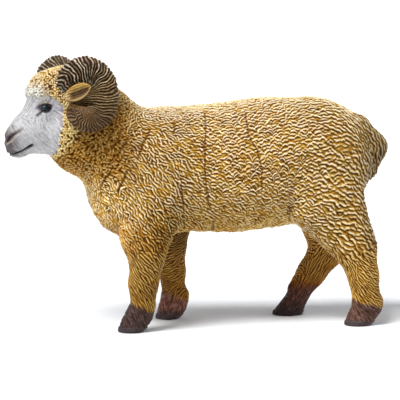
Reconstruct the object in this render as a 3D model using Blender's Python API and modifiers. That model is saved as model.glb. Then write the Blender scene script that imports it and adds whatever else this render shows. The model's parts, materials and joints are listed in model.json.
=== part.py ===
"""Toy farm animal figure: a standing ram with curled horns, moulded in pieces
that are glued on pegs. Metres, +Z up, the nose points to -X, the tail to +X,
the animal's left side to -Y. The soles of the four hooves lie on z = 0."""
import bpy
import bmesh
import math
from mathutils import Matrix, Vector, Euler

MM = 0.001

# ---------------------------------------------------------------- dimensions
GLUE_GAP = 0.30 * MM          # space between two glued faces
FIGURE_SHIFT = (0.63 * MM, 0.73 * MM, 0.0)   # puts the box centre on X = Y = 0
PARTING_Y = 0.0               # the two body halves meet here
LEG_SEAM_Z = 25.0 * MM        # the legs plug in below this height
SOLE_Z = 0.0
HEAD_PIVOT = (-36.0 * MM, 0.0, 65.6 * MM)
HEAD_YAW_DEG = 16.0           # the head looks a little to its left
NECK_PLANE_POINT = (7.2, -15.0)   # forward, up in the head frame, mm
NECK_PLANE_TOP = (-4.2, 10.0)
NECK_SPIGOT = (7.0, 7.0, 7.5)     # across, up, depth, mm
LEG_PEG_LENGTH = 6.0 * MM
FORE_PEG_RADIUS = 2.0 * MM
HIND_PEG_RADIUS = 2.4 * MM
TAIL_PEG_RADIUS = 1.5 * MM
HORN_PEG_RADIUS = 1.5 * MM
EAR_PEG_RADIUS = 0.85 * MM
HORN_SIDE_SCALE = 0.80        # horn section: thinner across than along the coil
CLEFT_WIDTH = 0.7 * MM
FULLNESS = 0.22               # mm added to every soft mass, lost again in its smoothing
CORE_MIN = (-15.0, -6.2, 39.0)
CORE_MAX = (38.0, 6.2, 55.0)
CORE_BEVEL = 3.2 * MM
STUD_RADIUS = 1.8 * MM
STUD_LENGTH = 3.0 * MM
STUD_X = (-6.0, 29.0)

FLEECE_VOXEL = 1.25 * MM
HEAD_VOXEL = 0.80 * MM
HORN_VOXEL = 0.70 * MM
LEG_VOXEL = 0.80 * MM

# Body masses in mm: ("ball", centre, radii, tilt) or ("cone", point, radius, point, radius, side scale)
TORSO = [
    ("ball", (8, 0, 46.2), (38, 15.6, 18.8), 0),
    ("ball", (33, 0, 48.2), (18.6, 15.2, 18.4), 0),
    ("ball", (20, 0, 50.0), (22, 13.5, 16.4), 0),
    ("ball", (-12, 0, 45.2), (17, 15.2, 18.5), 0),
    ("ball", (-18.6, 0, 38.3), (13.5, 12.6, 12.7), 0),
    ("cone", (-19.2, 0, 46), 15.0, (-30.6, -1.6, 59.4), 11.8, 0.94),
    ("ball", (-36.0, -1.6, 53.6), (7.6, 8.8, 8.6), 0),
]
HEAD = [   # forward, left, up in the head frame
    ("ball", (3.2, 0, 1.6), (9.0, 8.7, 8.9), 0),
    ("ball", (8.0, 0, 2.6), (7.0, 6.8, 6.6), 0),
    ("cone", (7.5, 0, -4.6), 7.3, (17.6, 0, -10.4), 4.4, 0.86),
    ("ball", (11.2, 0, -2.6), (4.6, 6.0, 4.4), 0),
    ("ball", (11.6, 0, -10.9), (7.6, 4.2, 3.6), -10),
    ("ball", (18.4, 0, -13.2), (2.6, 2.7, 2.0), 0),
    ("ball", (4.5, 0, -7.0), (7.6, 8.2, 7.6), 0),
    ("ball", (12.4, 5.9, -1.0), (1.5, 1.4, 1.2), 0),
    ("ball", (12.4, -5.9, -1.0), (1.5, 1.4, 1.2), 0),
]
LEGS = {
    "front_left": [
        ("cone", (-14.5, -8.6, 37), 8.6, (-17.4, -10.6, 21.5), 5.0, 0.9),
        ("cone", (-17.4, -10.8, 21.5), 4.9, (-18.4, -11, 14), 4.15, 1),
        ("cone", (-18.4, -11, 14), 4.1, (-18.5, -11, 8), 3.5, 1),
        ("cone", (-18.5, -11, 8), 3.5, (-19.2, -11, 5.6), 3.7, 1)],
    "front_right": [
        ("cone", (-7.5, 8.6, 37), 8.4, (-7.0, 10.0, 22.5), 4.4, 0.9),
        ("cone", (-7.0, 10.2, 22.5), 4.3, (-6.6, 10.5, 14), 3.7, 1),
        ("cone", (-6.6, 10.5, 14), 3.8, (-6.4, 10.5, 8), 3.5, 1),
        ("cone", (-6.4, 10.5, 8), 3.5, (-6.9, 10.5, 5.6), 3.7, 1)],
    "hind_left": [
        ("cone", (36.5, -7.5, 36.5), 11.5, (44.6, -10.6, 22.5), 6.2, 0.76),
        ("cone", (44.6, -10.6, 22.5), 5.6, (46.8, -11, 14.5), 4.4, 0.9),
        ("cone", (46.8, -11, 14.5), 4.3, (47.8, -11, 8), 4.1, 0.92),
        ("cone", (47.8, -11, 8), 4.1, (47.0, -11, 5.6), 4.1, 0.92)],
    "hind_right": [
        ("cone", (39, 7.5, 36.5), 10.4, (41.6, 10.4, 20.5), 5.6, 0.8),
        ("cone", (40.8, 10.6, 19.0), 5.2, (36.6, 11, 12.9), 4.3, 0.9),
        ("cone", (36.6, 11, 12.9), 4.1, (32.3, 11, 7.6), 3.8, 0.92),
        ("cone", (32.3, 11, 7.6), 3.8, (30.6, 11, 5.6), 4.0, 0.92)],
}
SOLE_CENTRE = {"front_left": (-21.0, -11.0), "front_right": (-8.0, 10.5),
               "hind_left": (45.4, -11.0), "hind_right": (28.9, 11.0)}
ANKLE_CENTRE = {"front_left": (-19.1, -11.0), "front_right": (-6.7, 10.5),
                "hind_left": (47.0, -11.0), "hind_right": (30.8, 11.0)}
PEG_CENTRE = {"front_left": (-16.9, -10.2), "front_right": (-7.0, 9.8),
              "hind_left": (42.4, -9.8), "hind_right": (41.0, 9.6)}
SOLE_RADII = (4.7, 3.9)
ANKLE_RADII = (4.0, 3.6)
ANKLE_Z = 6.4
TAIL = [("ball", (50.6, 0, 53.2), (5.3, 5.8, 9.6), -6)]
# Horn centre line in the head frame (forward, left, up) and its radius, mm
HORN_LINE = [
    (4.9, 5.6, 4.4, 4.3), (3.9, 7.4, 7.6, 4.3), (0.6, 9.4, 9.2, 4.2), (-2.6, 11.2, 6.6, 4.25),
    (-3.3, 12.6, 1.8, 4.2), (-1.6, 13.6, -2.6, 4.1), (1.8, 14.4, -4.4, 3.8), (5.2, 14.9, -3.8, 2.9),
    (6.4, 15.2, -1.2, 2.2), (4.8, 15.2, 1.0, 1.9), (2.6, 15.0, 0.8, 1.4)]
EAR_BASE = (7.0, 8.4, -0.2)
EAR_TIP = (3.1, 17.6, 4.9)
EAR_HALF = (0.6, 2.1, 1.25)     # extra length at each end, half height, half thickness, mm

# ------------------------------------------------------------------- helpers
for old in list(bpy.data.objects):
    bpy.data.objects.remove(old, do_unlink=True)

FIGURE = bpy.data.collections.new("ram_figure")
bpy.context.scene.collection.children.link(FIGURE)

YAW = math.radians(HEAD_YAW_DEG)
FORWARD = Vector((-math.cos(YAW), -math.sin(YAW), 0.0))
LEFT = Vector((math.sin(YAW), -math.cos(YAW), 0.0))
UP = Vector((0.0, 0.0, 1.0))
HEAD_FRAME = Matrix(((FORWARD.x, LEFT.x, 0.0, HEAD_PIVOT[0]),
                     (FORWARD.y, LEFT.y, 0.0, HEAD_PIVOT[1]),
                     (0.0, 0.0, 1.0, HEAD_PIVOT[2]),
                     (0.0, 0.0, 0.0, 1.0)))


def head_point(f, l, u):
    return HEAD_FRAME @ Vector((f * MM, l * MM, u * MM))


def work_object(name, bm):
    mesh = bpy.data.meshes.new(name)
    bm.to_mesh(mesh)
    bm.free()
    obj = bpy.data.objects.new(name, mesh)
    bpy.context.scene.collection.objects.link(obj)
    return obj


def apply_all(obj):
    """Turns the modifiers of an object into its mesh."""
    deps = bpy.context.evaluated_depsgraph_get()
    deps.update()
    mesh = bpy.data.meshes.new_from_object(obj.evaluated_get(deps))
    obj.modifiers.clear()
    old = obj.data
    obj.data = mesh
    bpy.data.meshes.remove(old)
    return obj


def drop(*objs):
    for o in objs:
        m = o.data
        bpy.data.objects.remove(o, do_unlink=True)
        if m.users == 0:
            bpy.data.meshes.remove(m)


def duplicate(obj, name):
    o = obj.copy()
    o.data = obj.data.copy()
    o.name = name
    bpy.context.scene.collection.objects.link(o)
    return o


def boolean(obj, cutter, how="DIFFERENCE", remove=True):
    m = obj.modifiers.new("cut", "BOOLEAN")
    m.operation = how
    m.solver = "EXACT"
    m.object = cutter
    apply_all(obj)
    if remove:
        drop(cutter)
    return obj


def add_ball(bm, centre, radii, tilt, grow, frame):
    rot = Matrix.Rotation(math.radians(tilt), 4, "Y")
    scale = Matrix.Diagonal(((radii[0] + grow) * MM, (radii[1] + grow) * MM, (radii[2] + grow) * MM, 1.0))
    place = Matrix.Translation(Vector(centre) * MM)
    bmesh.ops.create_uvsphere(bm, u_segments=32, v_segments=20, radius=1.0, matrix=frame @ place @ rot @ scale)


def add_cone(bm, p1, r1, p2, r2, side, grow, frame):
    """The convex hull of two balls: a rounded, tapered limb."""
    hull = bmesh.new()
    for p, r in ((p1, r1), (p2, r2)):
        scale = Matrix.Diagonal(((r + grow) * MM, (r * side + grow) * MM, (r + grow) * MM, 1.0))
        bmesh.ops.create_uvsphere(hull, u_segments=28, v_segments=18, radius=1.0,
                                  matrix=frame @ Matrix.Translation(Vector(p) * MM) @ scale)
    bmesh.ops.delete(hull, geom=hull.faces[:] + hull.edges[:], context="EDGES_FACES")
    out = bmesh.ops.convex_hull(hull, input=hull.verts[:], use_existing_faces=False)
    inner = [g for g in out["geom_interior"] if isinstance(g, bmesh.types.BMVert)]
    bmesh.ops.delete(hull, geom=list(set(inner)), context="VERTS")
    tmp = bpy.data.meshes.new("hull")
    hull.to_mesh(tmp)
    hull.free()
    bm.from_mesh(tmp)
    bpy.data.meshes.remove(tmp)


def mass(name, items, voxel, smooth, ratio, grow=0.0, frame=None, extra=None):
    """A soft body: balls and limbs run together by a voxel remesh and smoothed."""
    frame = frame or Matrix.Identity(4)
    bm = bmesh.new()
    for it in items:
        if it[0] == "ball":
            add_ball(bm, it[1], it[2], it[3], grow, frame)
        else:
            add_cone(bm, it[1], it[2], it[3], it[4], it[5], grow, frame)
    if extra:
        extra(bm, grow)
    bmesh.ops.recalc_face_normals(bm, faces=bm.faces[:])
    obj = work_object(name, bm)
    m = obj.modifiers.new("run_together", "REMESH")
    m.mode = "VOXEL"
    m.voxel_size = voxel
    if smooth:
        m = obj.modifiers.new("soften", "SMOOTH")
        m.factor = 0.5
        m.iterations = smooth
    if ratio < 1.0:
        m = obj.modifiers.new("lighten", "DECIMATE")
        m.ratio = ratio
    return apply_all(obj)


def box(name, lo, hi, bevel=0.0, segments=3):
    bm = bmesh.new()
    size = [(b - a) for a, b in zip(lo, hi)]
    mid = [(a + b) / 2 for a, b in zip(lo, hi)]
    bmesh.ops.create_cube(bm, size=1.0, matrix=Matrix.Translation(Vector(mid)) @ Matrix.Diagonal((size[0], size[1], size[2], 1.0)))
    obj = work_object(name, bm)
    if bevel:
        m = obj.modifiers.new("round", "BEVEL")
        m.width = bevel
        m.segments = segments
        apply_all(obj)
    return obj


def half_space(name, point, normal):
    """A big block that fills the side of a plane that its normal points to."""
    n = Vector(normal).normalized()
    quat = Vector((0, 0, 1)).rotation_difference(n)
    bm = bmesh.new()
    size = 300.0 * MM
    bmesh.ops.create_cube(bm, size=size, matrix=Matrix.Translation(Vector(point) + n * (size / 2)) @ quat.to_matrix().to_4x4())
    return work_object(name, bm)


def peg(name, start, end, radius, segments=24):
    a, b = Vector(start), Vector(end)
    axis = b - a
    quat = Vector((0, 0, 1)).rotation_difference(axis)
    bm = bmesh.new()
    bmesh.ops.create_cone(bm, cap_ends=True, segments=segments, radius1=radius, radius2=radius, depth=axis.length,
                          matrix=Matrix.Translation((a + b) / 2) @ quat.to_matrix().to_4x4())
    return work_object(name, bm)


def tidy(obj):
    bm = bmesh.new()
    bm.from_mesh(obj.data)
    bmesh.ops.remove_doubles(bm, verts=bm.verts[:], dist=2e-6)
    bmesh.ops.dissolve_degenerate(bm, edges=bm.edges[:], dist=2e-6)
    bmesh.ops.recalc_face_normals(bm, faces=bm.faces[:])
    if bm.calc_volume(signed=True) < 0.0:
        bmesh.ops.reverse_faces(bm, faces=bm.faces[:])
    bm.to_mesh(obj.data)
    bm.free()


def paint(name, colour, rough):
    mat = bpy.data.materials.new(name)
    mat.use_nodes = True
    bsdf = mat.node_tree.nodes["Principled BSDF"]
    bsdf.inputs["Base Color"].default_value = (colour[0], colour[1], colour[2], 1.0)
    bsdf.inputs["Roughness"].default_value = rough
    mat.diffuse_color = (colour[0], colour[1], colour[2], 1.0)
    return mat


def finish_piece(obj, name, colour, rough=0.6):
    tidy(obj)
    obj.name = name
    obj.data.name = name
    obj.data.materials.clear()
    obj.data.materials.append(paint(name + "_paint", colour, rough))
    obj.data.shade_smooth()
    obj.data.set_sharp_from_angle(angle=math.radians(42))
    for c in list(obj.users_collection):
        c.objects.unlink(obj)
    FIGURE.objects.link(obj)
    obj.location = FIGURE_SHIFT
    return obj


# --------------------------------------------------------------- body masses
def upper_limbs():
    out = []
    for items in LEGS.values():
        out += items[:2]
    return out


def torso_mass(name, grow, ratio):
    return mass(name, TORSO + upper_limbs(), FLEECE_VOXEL, 5, ratio, grow + FULLNESS)


def head_mass(name, grow, ratio):
    return mass(name, HEAD, HEAD_VOXEL, 4, ratio, grow + FULLNESS, HEAD_FRAME)


def hoof_builder(which):
    def add(bm, grow):
        sx, sy = SOLE_CENTRE[which]
        ax, ay = ANKLE_CENTRE[which]
        below = -1.2
        lean = (ax - sx) / ANKLE_Z
        taper = (ANKLE_RADII[0] - SOLE_RADII[0]) / ANKLE_Z
        bottom = SOLE_RADII[0] - taper * -below * -1.0
        ratio_y = SOLE_RADII[1] / SOLE_RADII[0]
        height = ANKLE_Z - below
        # a leaning, tapered column: sheared along X so that the toe points forward
        shear = Matrix.Identity(4)
        shear[0][2] = lean
        centre_z = (ANKLE_Z + below) / 2
        place = Matrix.Translation(Vector((sx + lean * centre_z, sy, centre_z)) * MM)
        scale = Matrix.Diagonal((1.0, ratio_y, 1.0, 1.0))
        bmesh.ops.create_cone(bm, cap_ends=True, segments=36, radius1=(bottom + grow) * MM,
                              radius2=(ANKLE_RADII[0] + grow) * MM, depth=height * MM,
                              matrix=place @ shear @ scale)
    return add


def horn_mass(name, side, grow, ratio):
    """The horn: a chain of flattened balls along its coil, run together."""
    bm = bmesh.new()
    n = len(HORN_LINE) - 1
    steps = 84
    for i in range(steps + 1):
        s = i / steps * n
        k = min(int(s), n - 1)
        t = s - k
        p = [Vector(HORN_LINE[max(0, min(n, k + d))]) for d in (-1, 0, 1, 2)]
        q = 0.5 * ((2 * p[1]) + (p[2] - p[0]) * t + (2 * p[0] - 5 * p[1] + 4 * p[2] - p[3]) * t * t
                   + (3 * p[1] - p[0] - 3 * p[2] + p[3]) * t * t * t)
        r = q[3] + grow
        scale = Matrix.Diagonal((r * MM, (q[3] * HORN_SIDE_SCALE + grow) * MM, r * MM, 1.0))
        place = Matrix.Translation(Vector((q[0], q[1] * side, q[2])) * MM)
        bmesh.ops.create_uvsphere(bm, u_segments=24, v_segments=14, radius=1.0, matrix=HEAD_FRAME @ place @ scale)
    bmesh.ops.recalc_face_normals(bm, faces=bm.faces[:])
    obj = work_object(name, bm)
    m = obj.modifiers.new("run_together", "REMESH")
    m.mode = "VOXEL"
    m.voxel_size = HORN_VOXEL
    m = obj.modifiers.new("soften", "SMOOTH")
    m.factor = 0.5
    m.iterations = 3
    if ratio < 1.0:
        m = obj.modifiers.new("lighten", "DECIMATE")
        m.ratio = ratio
    return apply_all(obj)


def ear_solid(name, side, grow):
    """A leaf: a flattened ball along the ear, hollowed on its front side."""
    a = Vector((EAR_BASE[0], EAR_BASE[1] * side, EAR_BASE[2])) * MM
    b = Vector((EAR_TIP[0], EAR_TIP[1] * side, EAR_TIP[2])) * MM
    axis = (b - a).normalized()
    wide = (UP - axis * axis.dot(UP)).normalized()
    thin = axis.cross(wide)
    if thin.x < 0:
        thin = -thin
    half = (b - a).length / 2 + (EAR_HALF[0] + grow) * MM
    mid = (a + b) / 2
    basis = Matrix(((axis.x, wide.x, thin.x, 0), (axis.y, wide.y, thin.y, 0), (axis.z, wide.z, thin.z, 0), (0, 0, 0, 1)))
    bm = bmesh.new()
    bmesh.ops.create_uvsphere(bm, u_segments=16, v_segments=12, radius=1.0,
                              matrix=HEAD_FRAME @ Matrix.Translation(mid) @ basis
                              @ Matrix.Diagonal((half, (EAR_HALF[1] + grow) * MM, (EAR_HALF[2] + grow) * MM, 1)))
    bmesh.ops.recalc_face_normals(bm, faces=bm.faces[:])
    ear = work_object(name, bm)
    if grow == 0.0:
        bm = bmesh.new()
        bmesh.ops.create_uvsphere(bm, u_segments=14, v_segments=10, radius=1.0,
                                  matrix=HEAD_FRAME @ Matrix.Translation(mid + axis * 0.3 * MM + thin * 1.25 * MM) @ basis
                                  @ Matrix.Diagonal((half * 0.80, 1.35 * MM, 1.05 * MM, 1)))
        bmesh.ops.recalc_face_normals(bm, faces=bm.faces[:])
        boolean(ear, work_object(name + "_cup", bm))
    return ear


def ear_peg(name, side, grow):
    start = head_point(7.6, 4.6 * side, -2.0)
    end = head_point(EAR_BASE[0] - 0.6, (EAR_BASE[1] + 1.6) * side, EAR_BASE[2] + 0.8)
    direction = (end - start).normalized()
    return peg(name, start - direction * grow * MM, end, EAR_PEG_RADIUS + grow * MM, 16)


def horn_peg(name, side, grow):
    start = head_point(5.0, 2.0 * side, 3.2)
    end = head_point(3.4, 9.0 * side, 7.2)
    direction = (end - start).normalized()
    return peg(name, start - direction * grow * MM, end, HORN_PEG_RADIUS + grow * MM, 20)


NP = Vector((NECK_PLANE_POINT[0], 0.0, NECK_PLANE_POINT[1]))
NT = Vector((NECK_PLANE_TOP[0], 0.0, NECK_PLANE_TOP[1]))
along = (NT - NP).normalized()
normal_local = Vector((along.z, 0.0, -along.x))
NECK_POINT = HEAD_FRAME @ (NP * MM)
NECK_NORMAL = (HEAD_FRAME.to_3x3() @ normal_local).normalized()
NECK_MID = HEAD_FRAME @ ((NP * 0.52 + NT * 0.48) * MM)


def neck_spigot(name, grow):
    """A square, bevelled tenon: it keys the head so that it can't turn."""
    w = (NECK_SPIGOT[0] / 2 + grow) * MM
    h = (NECK_SPIGOT[1] / 2 + grow) * MM
    d = (NECK_SPIGOT[2] + grow) * MM
    obj = box(name, (-w, -h, -d), (w, h, 1.5 * MM), 0.8 * MM, 2)
    side = (HEAD_FRAME.to_3x3() @ Vector((0, 1, 0))).normalized()
    third = NECK_NORMAL.cross(side)
    rot = Matrix(((side.x, third.x, NECK_NORMAL.x, 0), (side.y, third.y, NECK_NORMAL.y, 0),
                  (side.z, third.z, NECK_NORMAL.z, 0), (0, 0, 0, 1)))
    obj.data.transform(Matrix.Translation(NECK_MID) @ rot)
    return obj


def core_block(name, grow):
    g = grow * MM
    lo = [v * MM - g for v in CORE_MIN]
    hi = [v * MM + g for v in CORE_MAX]
    core = box(name, lo, hi, CORE_BEVEL, 4)
    for x in STUD_X:
        mid_z = (CORE_MIN[2] + CORE_MAX[2]) / 2 * MM
        reach = CORE_MAX[1] * MM + STUD_LENGTH + g
        boolean(core, peg(name + "_stud", (x * MM, -reach, mid_z), (x * MM, reach, mid_z), STUD_RADIUS + g, 24), "UNION")
    return core


def leg_peg(name, which, grow):
    x, y = PEG_CENTRE[which]
    radius = FORE_PEG_RADIUS if which.startswith("front") else HIND_PEG_RADIUS
    return peg(name, (x * MM, y * MM, LEG_SEAM_Z - 2.0 * MM),
               (x * MM, y * MM, LEG_SEAM_Z + LEG_PEG_LENGTH + grow * MM), radius + grow * MM, 24)


def tail_peg(name, grow):
    return peg(name, (44.0 * MM - grow * MM, 0, 53.0 * MM), (52.5 * MM, 0, 53.0 * MM), TAIL_PEG_RADIUS + grow * MM, 20)


GROW = GLUE_GAP / MM      # 0.3, in the units of the mass tables
HALF = GLUE_GAP / 2

# -------------------------------------------------------------------- pieces
# Head: face and poll, cut off behind the horns, with its tenon
head = head_mass("head", 0.0, 0.15)
boolean(head, half_space("behind", NECK_POINT + NECK_NORMAL * HALF, -NECK_NORMAL))
boolean(head, neck_spigot("tenon", 0.0), "UNION")
for s, word in ((1, "left"), (-1, "right")):
    boolean(head, horn_peg("hole", s, GROW))
    boolean(head, ear_peg("hole", s, GROW))

# Body: both halves from one mass
body = torso_mass("body", 0.0, 0.13)
boolean(body, half_space("ahead", NECK_POINT - NECK_NORMAL * HALF, NECK_NORMAL))
boolean(body, half_space("below", (0, 0, LEG_SEAM_Z + HALF), (0, 0, -1)))
boolean(body, neck_spigot("tenon", GROW))
boolean(body, tail_peg("hole", GROW))
for which in LEGS:
    boolean(body, leg_peg("hole", which, GROW))

# Horns: their roots follow the head, their coils stand clear of the neck
fat_head = head_mass("fat_head", GROW, 0.15)
fat_body = torso_mass("fat_body", GROW, 0.13)
for s, word in ((1, "left"), (-1, "right")):
    horn = horn_mass("horn", s, 0.0, 0.14)
    boolean(horn, fat_head, "DIFFERENCE", remove=False)
    boolean(horn, fat_body, "DIFFERENCE", remove=False)
    fat_ear = ear_solid("fat_ear", s, GROW)
    boolean(horn, fat_ear)
    boolean(horn, ear_peg("fat_peg", s, GROW))
    boolean(horn, horn_peg("root_peg", s, 0.0), "UNION")
    finish_piece(horn, "horn_" + word, (0.085, 0.055, 0.035), 0.5)
    ear = ear_solid("ear", s, 0.0)
    boolean(ear, fat_head, "DIFFERENCE", remove=False)
    boolean(ear, ear_peg("root_peg", s, 0.0), "UNION")
    finish_piece(ear, "ear_" + word, (0.30, 0.18, 0.06))

# Tail
tail = mass("tail", TAIL, 0.8 * MM, 2, 0.16, FULLNESS)
boolean(tail, fat_body, "DIFFERENCE", remove=False)
boolean(tail, tail_peg("root_peg", 0.0), "UNION")
finish_piece(tail, "tail", (0.36, 0.24, 0.11))
drop(fat_head, fat_body)

# Legs
for which, items in LEGS.items():
    leg = mass("leg", items, LEG_VOXEL, 3, 0.12, FULLNESS, None, hoof_builder(which))
    boolean(leg, half_space("above", (0, 0, LEG_SEAM_Z - HALF), (0, 0, 1)))
    boolean(leg, half_space("floor", (0, 0, SOLE_Z), (0, 0, -1)))
    boolean(leg, leg_peg("peg", which, 0.0), "UNION")
    # the cleft between the two toes
    sx, sy = SOLE_CENTRE[which]
    cleft = box("cleft", ((sx - 7.5) * MM, sy * MM - CLEFT_WIDTH / 2, -1 * MM),
                ((sx - 3.3) * MM, sy * MM + CLEFT_WIDTH / 2, 4.2 * MM))
    boolean(leg, cleft)
    finish_piece(leg, "leg_" + which, (0.20, 0.12, 0.04))

finish_piece(head, "head", (0.60, 0.58, 0.58))

right = duplicate(body, "right")
boolean(body, half_space("right_side", (0, PARTING_Y - HALF, 0), (0, 1, 0)))
boolean(right, half_space("left_side", (0, PARTING_Y + HALF, 0), (0, -1, 0)))
fat_core = core_block("fat_core", GROW)
boolean(body, fat_core, "DIFFERENCE", remove=False)
boolean(right, fat_core)
finish_piece(body, "torso_left", (0.40, 0.27, 0.12))
finish_piece(right, "torso_right", (0.40, 0.27, 0.12))
finish_piece(core_block("core", 0.0), "torso_core", (0.55, 0.53, 0.50))
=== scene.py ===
import json
import math
import bpy
import bmesh
import numpy as np
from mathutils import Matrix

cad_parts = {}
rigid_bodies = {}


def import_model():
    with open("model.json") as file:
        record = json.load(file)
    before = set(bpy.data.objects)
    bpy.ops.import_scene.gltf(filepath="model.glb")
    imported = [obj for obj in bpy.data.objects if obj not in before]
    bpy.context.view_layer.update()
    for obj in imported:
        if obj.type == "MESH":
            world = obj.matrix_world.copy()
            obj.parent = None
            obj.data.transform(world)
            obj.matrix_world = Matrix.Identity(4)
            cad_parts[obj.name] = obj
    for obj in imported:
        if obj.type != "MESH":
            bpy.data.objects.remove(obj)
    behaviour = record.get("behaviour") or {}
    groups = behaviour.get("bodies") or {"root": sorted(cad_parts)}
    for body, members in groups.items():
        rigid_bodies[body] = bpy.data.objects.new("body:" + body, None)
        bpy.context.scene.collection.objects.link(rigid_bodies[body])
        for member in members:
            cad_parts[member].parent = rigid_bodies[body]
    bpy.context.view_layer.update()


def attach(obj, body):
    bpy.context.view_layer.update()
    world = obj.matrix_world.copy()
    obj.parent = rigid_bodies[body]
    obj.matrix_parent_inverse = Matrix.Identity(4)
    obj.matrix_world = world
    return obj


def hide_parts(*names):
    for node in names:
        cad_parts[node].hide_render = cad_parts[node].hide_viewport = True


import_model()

import openvdb as vdb

MM = 0.001
# The figure's own plan frame, in mm: nose to -X, left side to -Y, soles on z = 0.
SHIFT = np.array([0.63, 0.73, 0.0])
BODY_CELL = 0.62
HEAD_CELL = 0.46
LEVELS = 2

YAW = math.radians(16.0)
PIVOT = np.array([-36.0, 0.0, 65.6])
HF = np.array([-math.cos(YAW), -math.sin(YAW), 0.0])
HL = np.array([math.sin(YAW), -math.cos(YAW), 0.0])
HU = np.array([0.0, 0.0, 1.0])
HEAD_AXES = np.stack([HF, HL, HU], 1)


def to_head(p):
    return (p - PIVOT) @ HEAD_AXES


def from_head(q):
    return np.asarray(q) @ HEAD_AXES.T + PIVOT


def smooth(a, b, x):
    t = np.clip((x - a) / (b - a), 0.0, 1.0)
    return t * t * (3 - 2 * t)


# ------------------------------------------------------------ soft body forms
def ball(c, r, tilt=0.0, frame_="fig"):
    return ("ball", np.array(c, float), np.array(r, float), math.radians(tilt), frame_)


def limb(a, ra, b, rb, side):
    return ("limb", np.array(a, float), ra, np.array(b, float), rb, side)


TORSO = [
    ball((8, 0, 46.2), (38, 15.6, 18.8)),
    ball((33, 0, 48.2), (18.6, 15.2, 18.4)),
    ball((20, 0, 50.0), (22, 13.5, 16.4)),
    ball((-12, 0, 45.2), (17, 15.2, 18.5)),
    ball((-18.6, 0, 38.3), (13.5, 12.6, 12.7)),
    limb((-19.2, 0, 46), 15.0, (-30.6, -1.6, 59.4), 11.8, 0.94),
    ball((-36.0, -1.6, 53.6), (7.6, 8.8, 8.6)),
]
HEAD = [
    ball((3.2, 0, 1.6), (9.0, 8.7, 8.9)),
    ball((8.0, 0, 2.6), (7.0, 6.8, 6.6)),
    limb((7.5, 0, -4.6), 7.3, (17.6, 0, -10.4), 4.4, 0.86),
    ball((11.2, 0, -2.6), (4.6, 6.0, 4.4)),
    ball((11.6, 0, -10.9), (7.6, 4.2, 3.6), -10),
    ball((18.4, 0, -13.2), (2.6, 2.7, 2.0)),
    ball((4.5, 0, -7.0), (7.6, 8.2, 7.6)),
    ball((16.5, 0, -5.8), (5.2, 3.2, 2.7), 45),
]
LEGS = {
    "front_left": [
        limb((-14.5, -8.6, 37), 8.6, (-17.4, -10.6, 21.5), 5.0, 0.9),
        limb((-17.4, -10.8, 21.5), 4.9, (-18.4, -11, 14), 4.15, 1),
        limb((-18.4, -11, 14), 4.1, (-18.6, -11, 8), 3.5, 1),
        ball((-19.5, -9.8, 27.0), (5.4, 4.9, 6.5))],
    "front_right": [
        limb((-7.5, 8.6, 37), 8.4, (-7.0, 10.0, 22.5), 4.4, 0.9),
        limb((-7.0, 10.2, 22.5), 4.3, (-6.6, 10.5, 14), 3.7, 1),
        limb((-6.6, 10.5, 14), 3.8, (-6.3, 10.5, 8), 3.4, 1),
        ball((-3.7, 10.5, 6.9), (2.1, 2.6, 2.6))],
    "hind_left": [
        limb((36.5, -7.5, 36.5), 11.5, (44.6, -10.6, 22.5), 6.2, 0.76),
        limb((44.6, -10.6, 22.5), 5.6, (46.8, -11, 14.5), 4.4, 0.9),
        limb((46.8, -11, 14.5), 4.3, (47.8, -11, 8), 4.1, 0.92),
        ball((50.3, -11, 6.4), (2.3, 2.7, 2.7))],
    "hind_right": [
        limb((39, 7.5, 36.5), 10.4, (41.6, 10.4, 20.5), 5.6, 0.8),
        limb((40.8, 10.6, 19.0), 5.2, (36.6, 11, 12.9), 4.3, 0.9),
        limb((36.6, 11, 12.9), 4.1, (32.8, 11, 7.6), 3.6, 0.92)],
}
# foot outlines: height, front, back
FOOT = {
    "front_left": (-11.0, [(0, -25.7, -18.9), (1.2, -25.6, -17.5), (3.5, -24.8, -15.9), (6.0, -23.4, -15.3), (8.4, -22.0, -15.1)]),
    "front_right": (10.5, [(0, -11.6, -5.0), (1.0, -11.5, -3.7), (2.6, -11.1, -2.5), (5.0, -10.4, -1.9), (8.0, -9.6, -2.4)]),
    "hind_left": (-11.0, [(0, 41.4, 48.9), (0.8, 41.4, 49.7), (3.6, 42.4, 52.0), (5.7, 43.4, 52.6), (8.0, 43.9, 52.2)]),
    "hind_right": (11.0, [(0, 24.5, 33.4), (1.2, 24.8, 33.9), (3.0, 26.3, 34.7), (5.0, 27.9, 35.4), (8.0, 30.0, 36.2)]),
}
SOLE = {w: ((t[0][1] + t[0][2]) / 2, y) for w, (y, t) in FOOT.items()}
TAIL = [limb((47.0, 0, 57.1), 4.4, (51.2, 0, 51.4), 4.9, 1.12), limb((51.2, 0, 51.4), 4.9, (50.3, 0, 45.5), 3.4, 1.12)]
LEG_SEAM_Z = 25.0
NECK_A = from_head((7.2, 0, -15.0))
NECK_B = from_head((-4.2, 0, 10.0))
_along = (NECK_B - NECK_A) / np.linalg.norm(NECK_B - NECK_A)
_loc = _along @ HEAD_AXES
NECK_N = from_head((_loc[2], 0, -_loc[0])) - PIVOT


def dist(p, it):
    if it[0] == "ball":
        q = p - it[1]
        if it[3]:
            c, s = math.cos(it[3]), math.sin(it[3])
            q = np.stack([q[:, 0] * c - q[:, 2] * s, q[:, 1], q[:, 0] * s + q[:, 2] * c], 1)
        q = q / it[2]
        k0 = np.sqrt(np.einsum("ij,ij->i", q, q))
        q = q / it[2]
        k1 = np.sqrt(np.einsum("ij,ij->i", q, q)) + 1e-9
        return k0 * (k0 - 1) / k1
    a, ra, b, rb, side = it[1:]
    ab = b - a
    q = p - a
    t = np.clip((q @ ab) / (ab @ ab), 0, 1)
    w = q - t[:, None] * ab
    w[:, 1] /= side
    return (np.sqrt(np.einsum("ij,ij->i", w, w)) - (ra + (rb - ra) * t)) * min(1.0, side)


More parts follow.
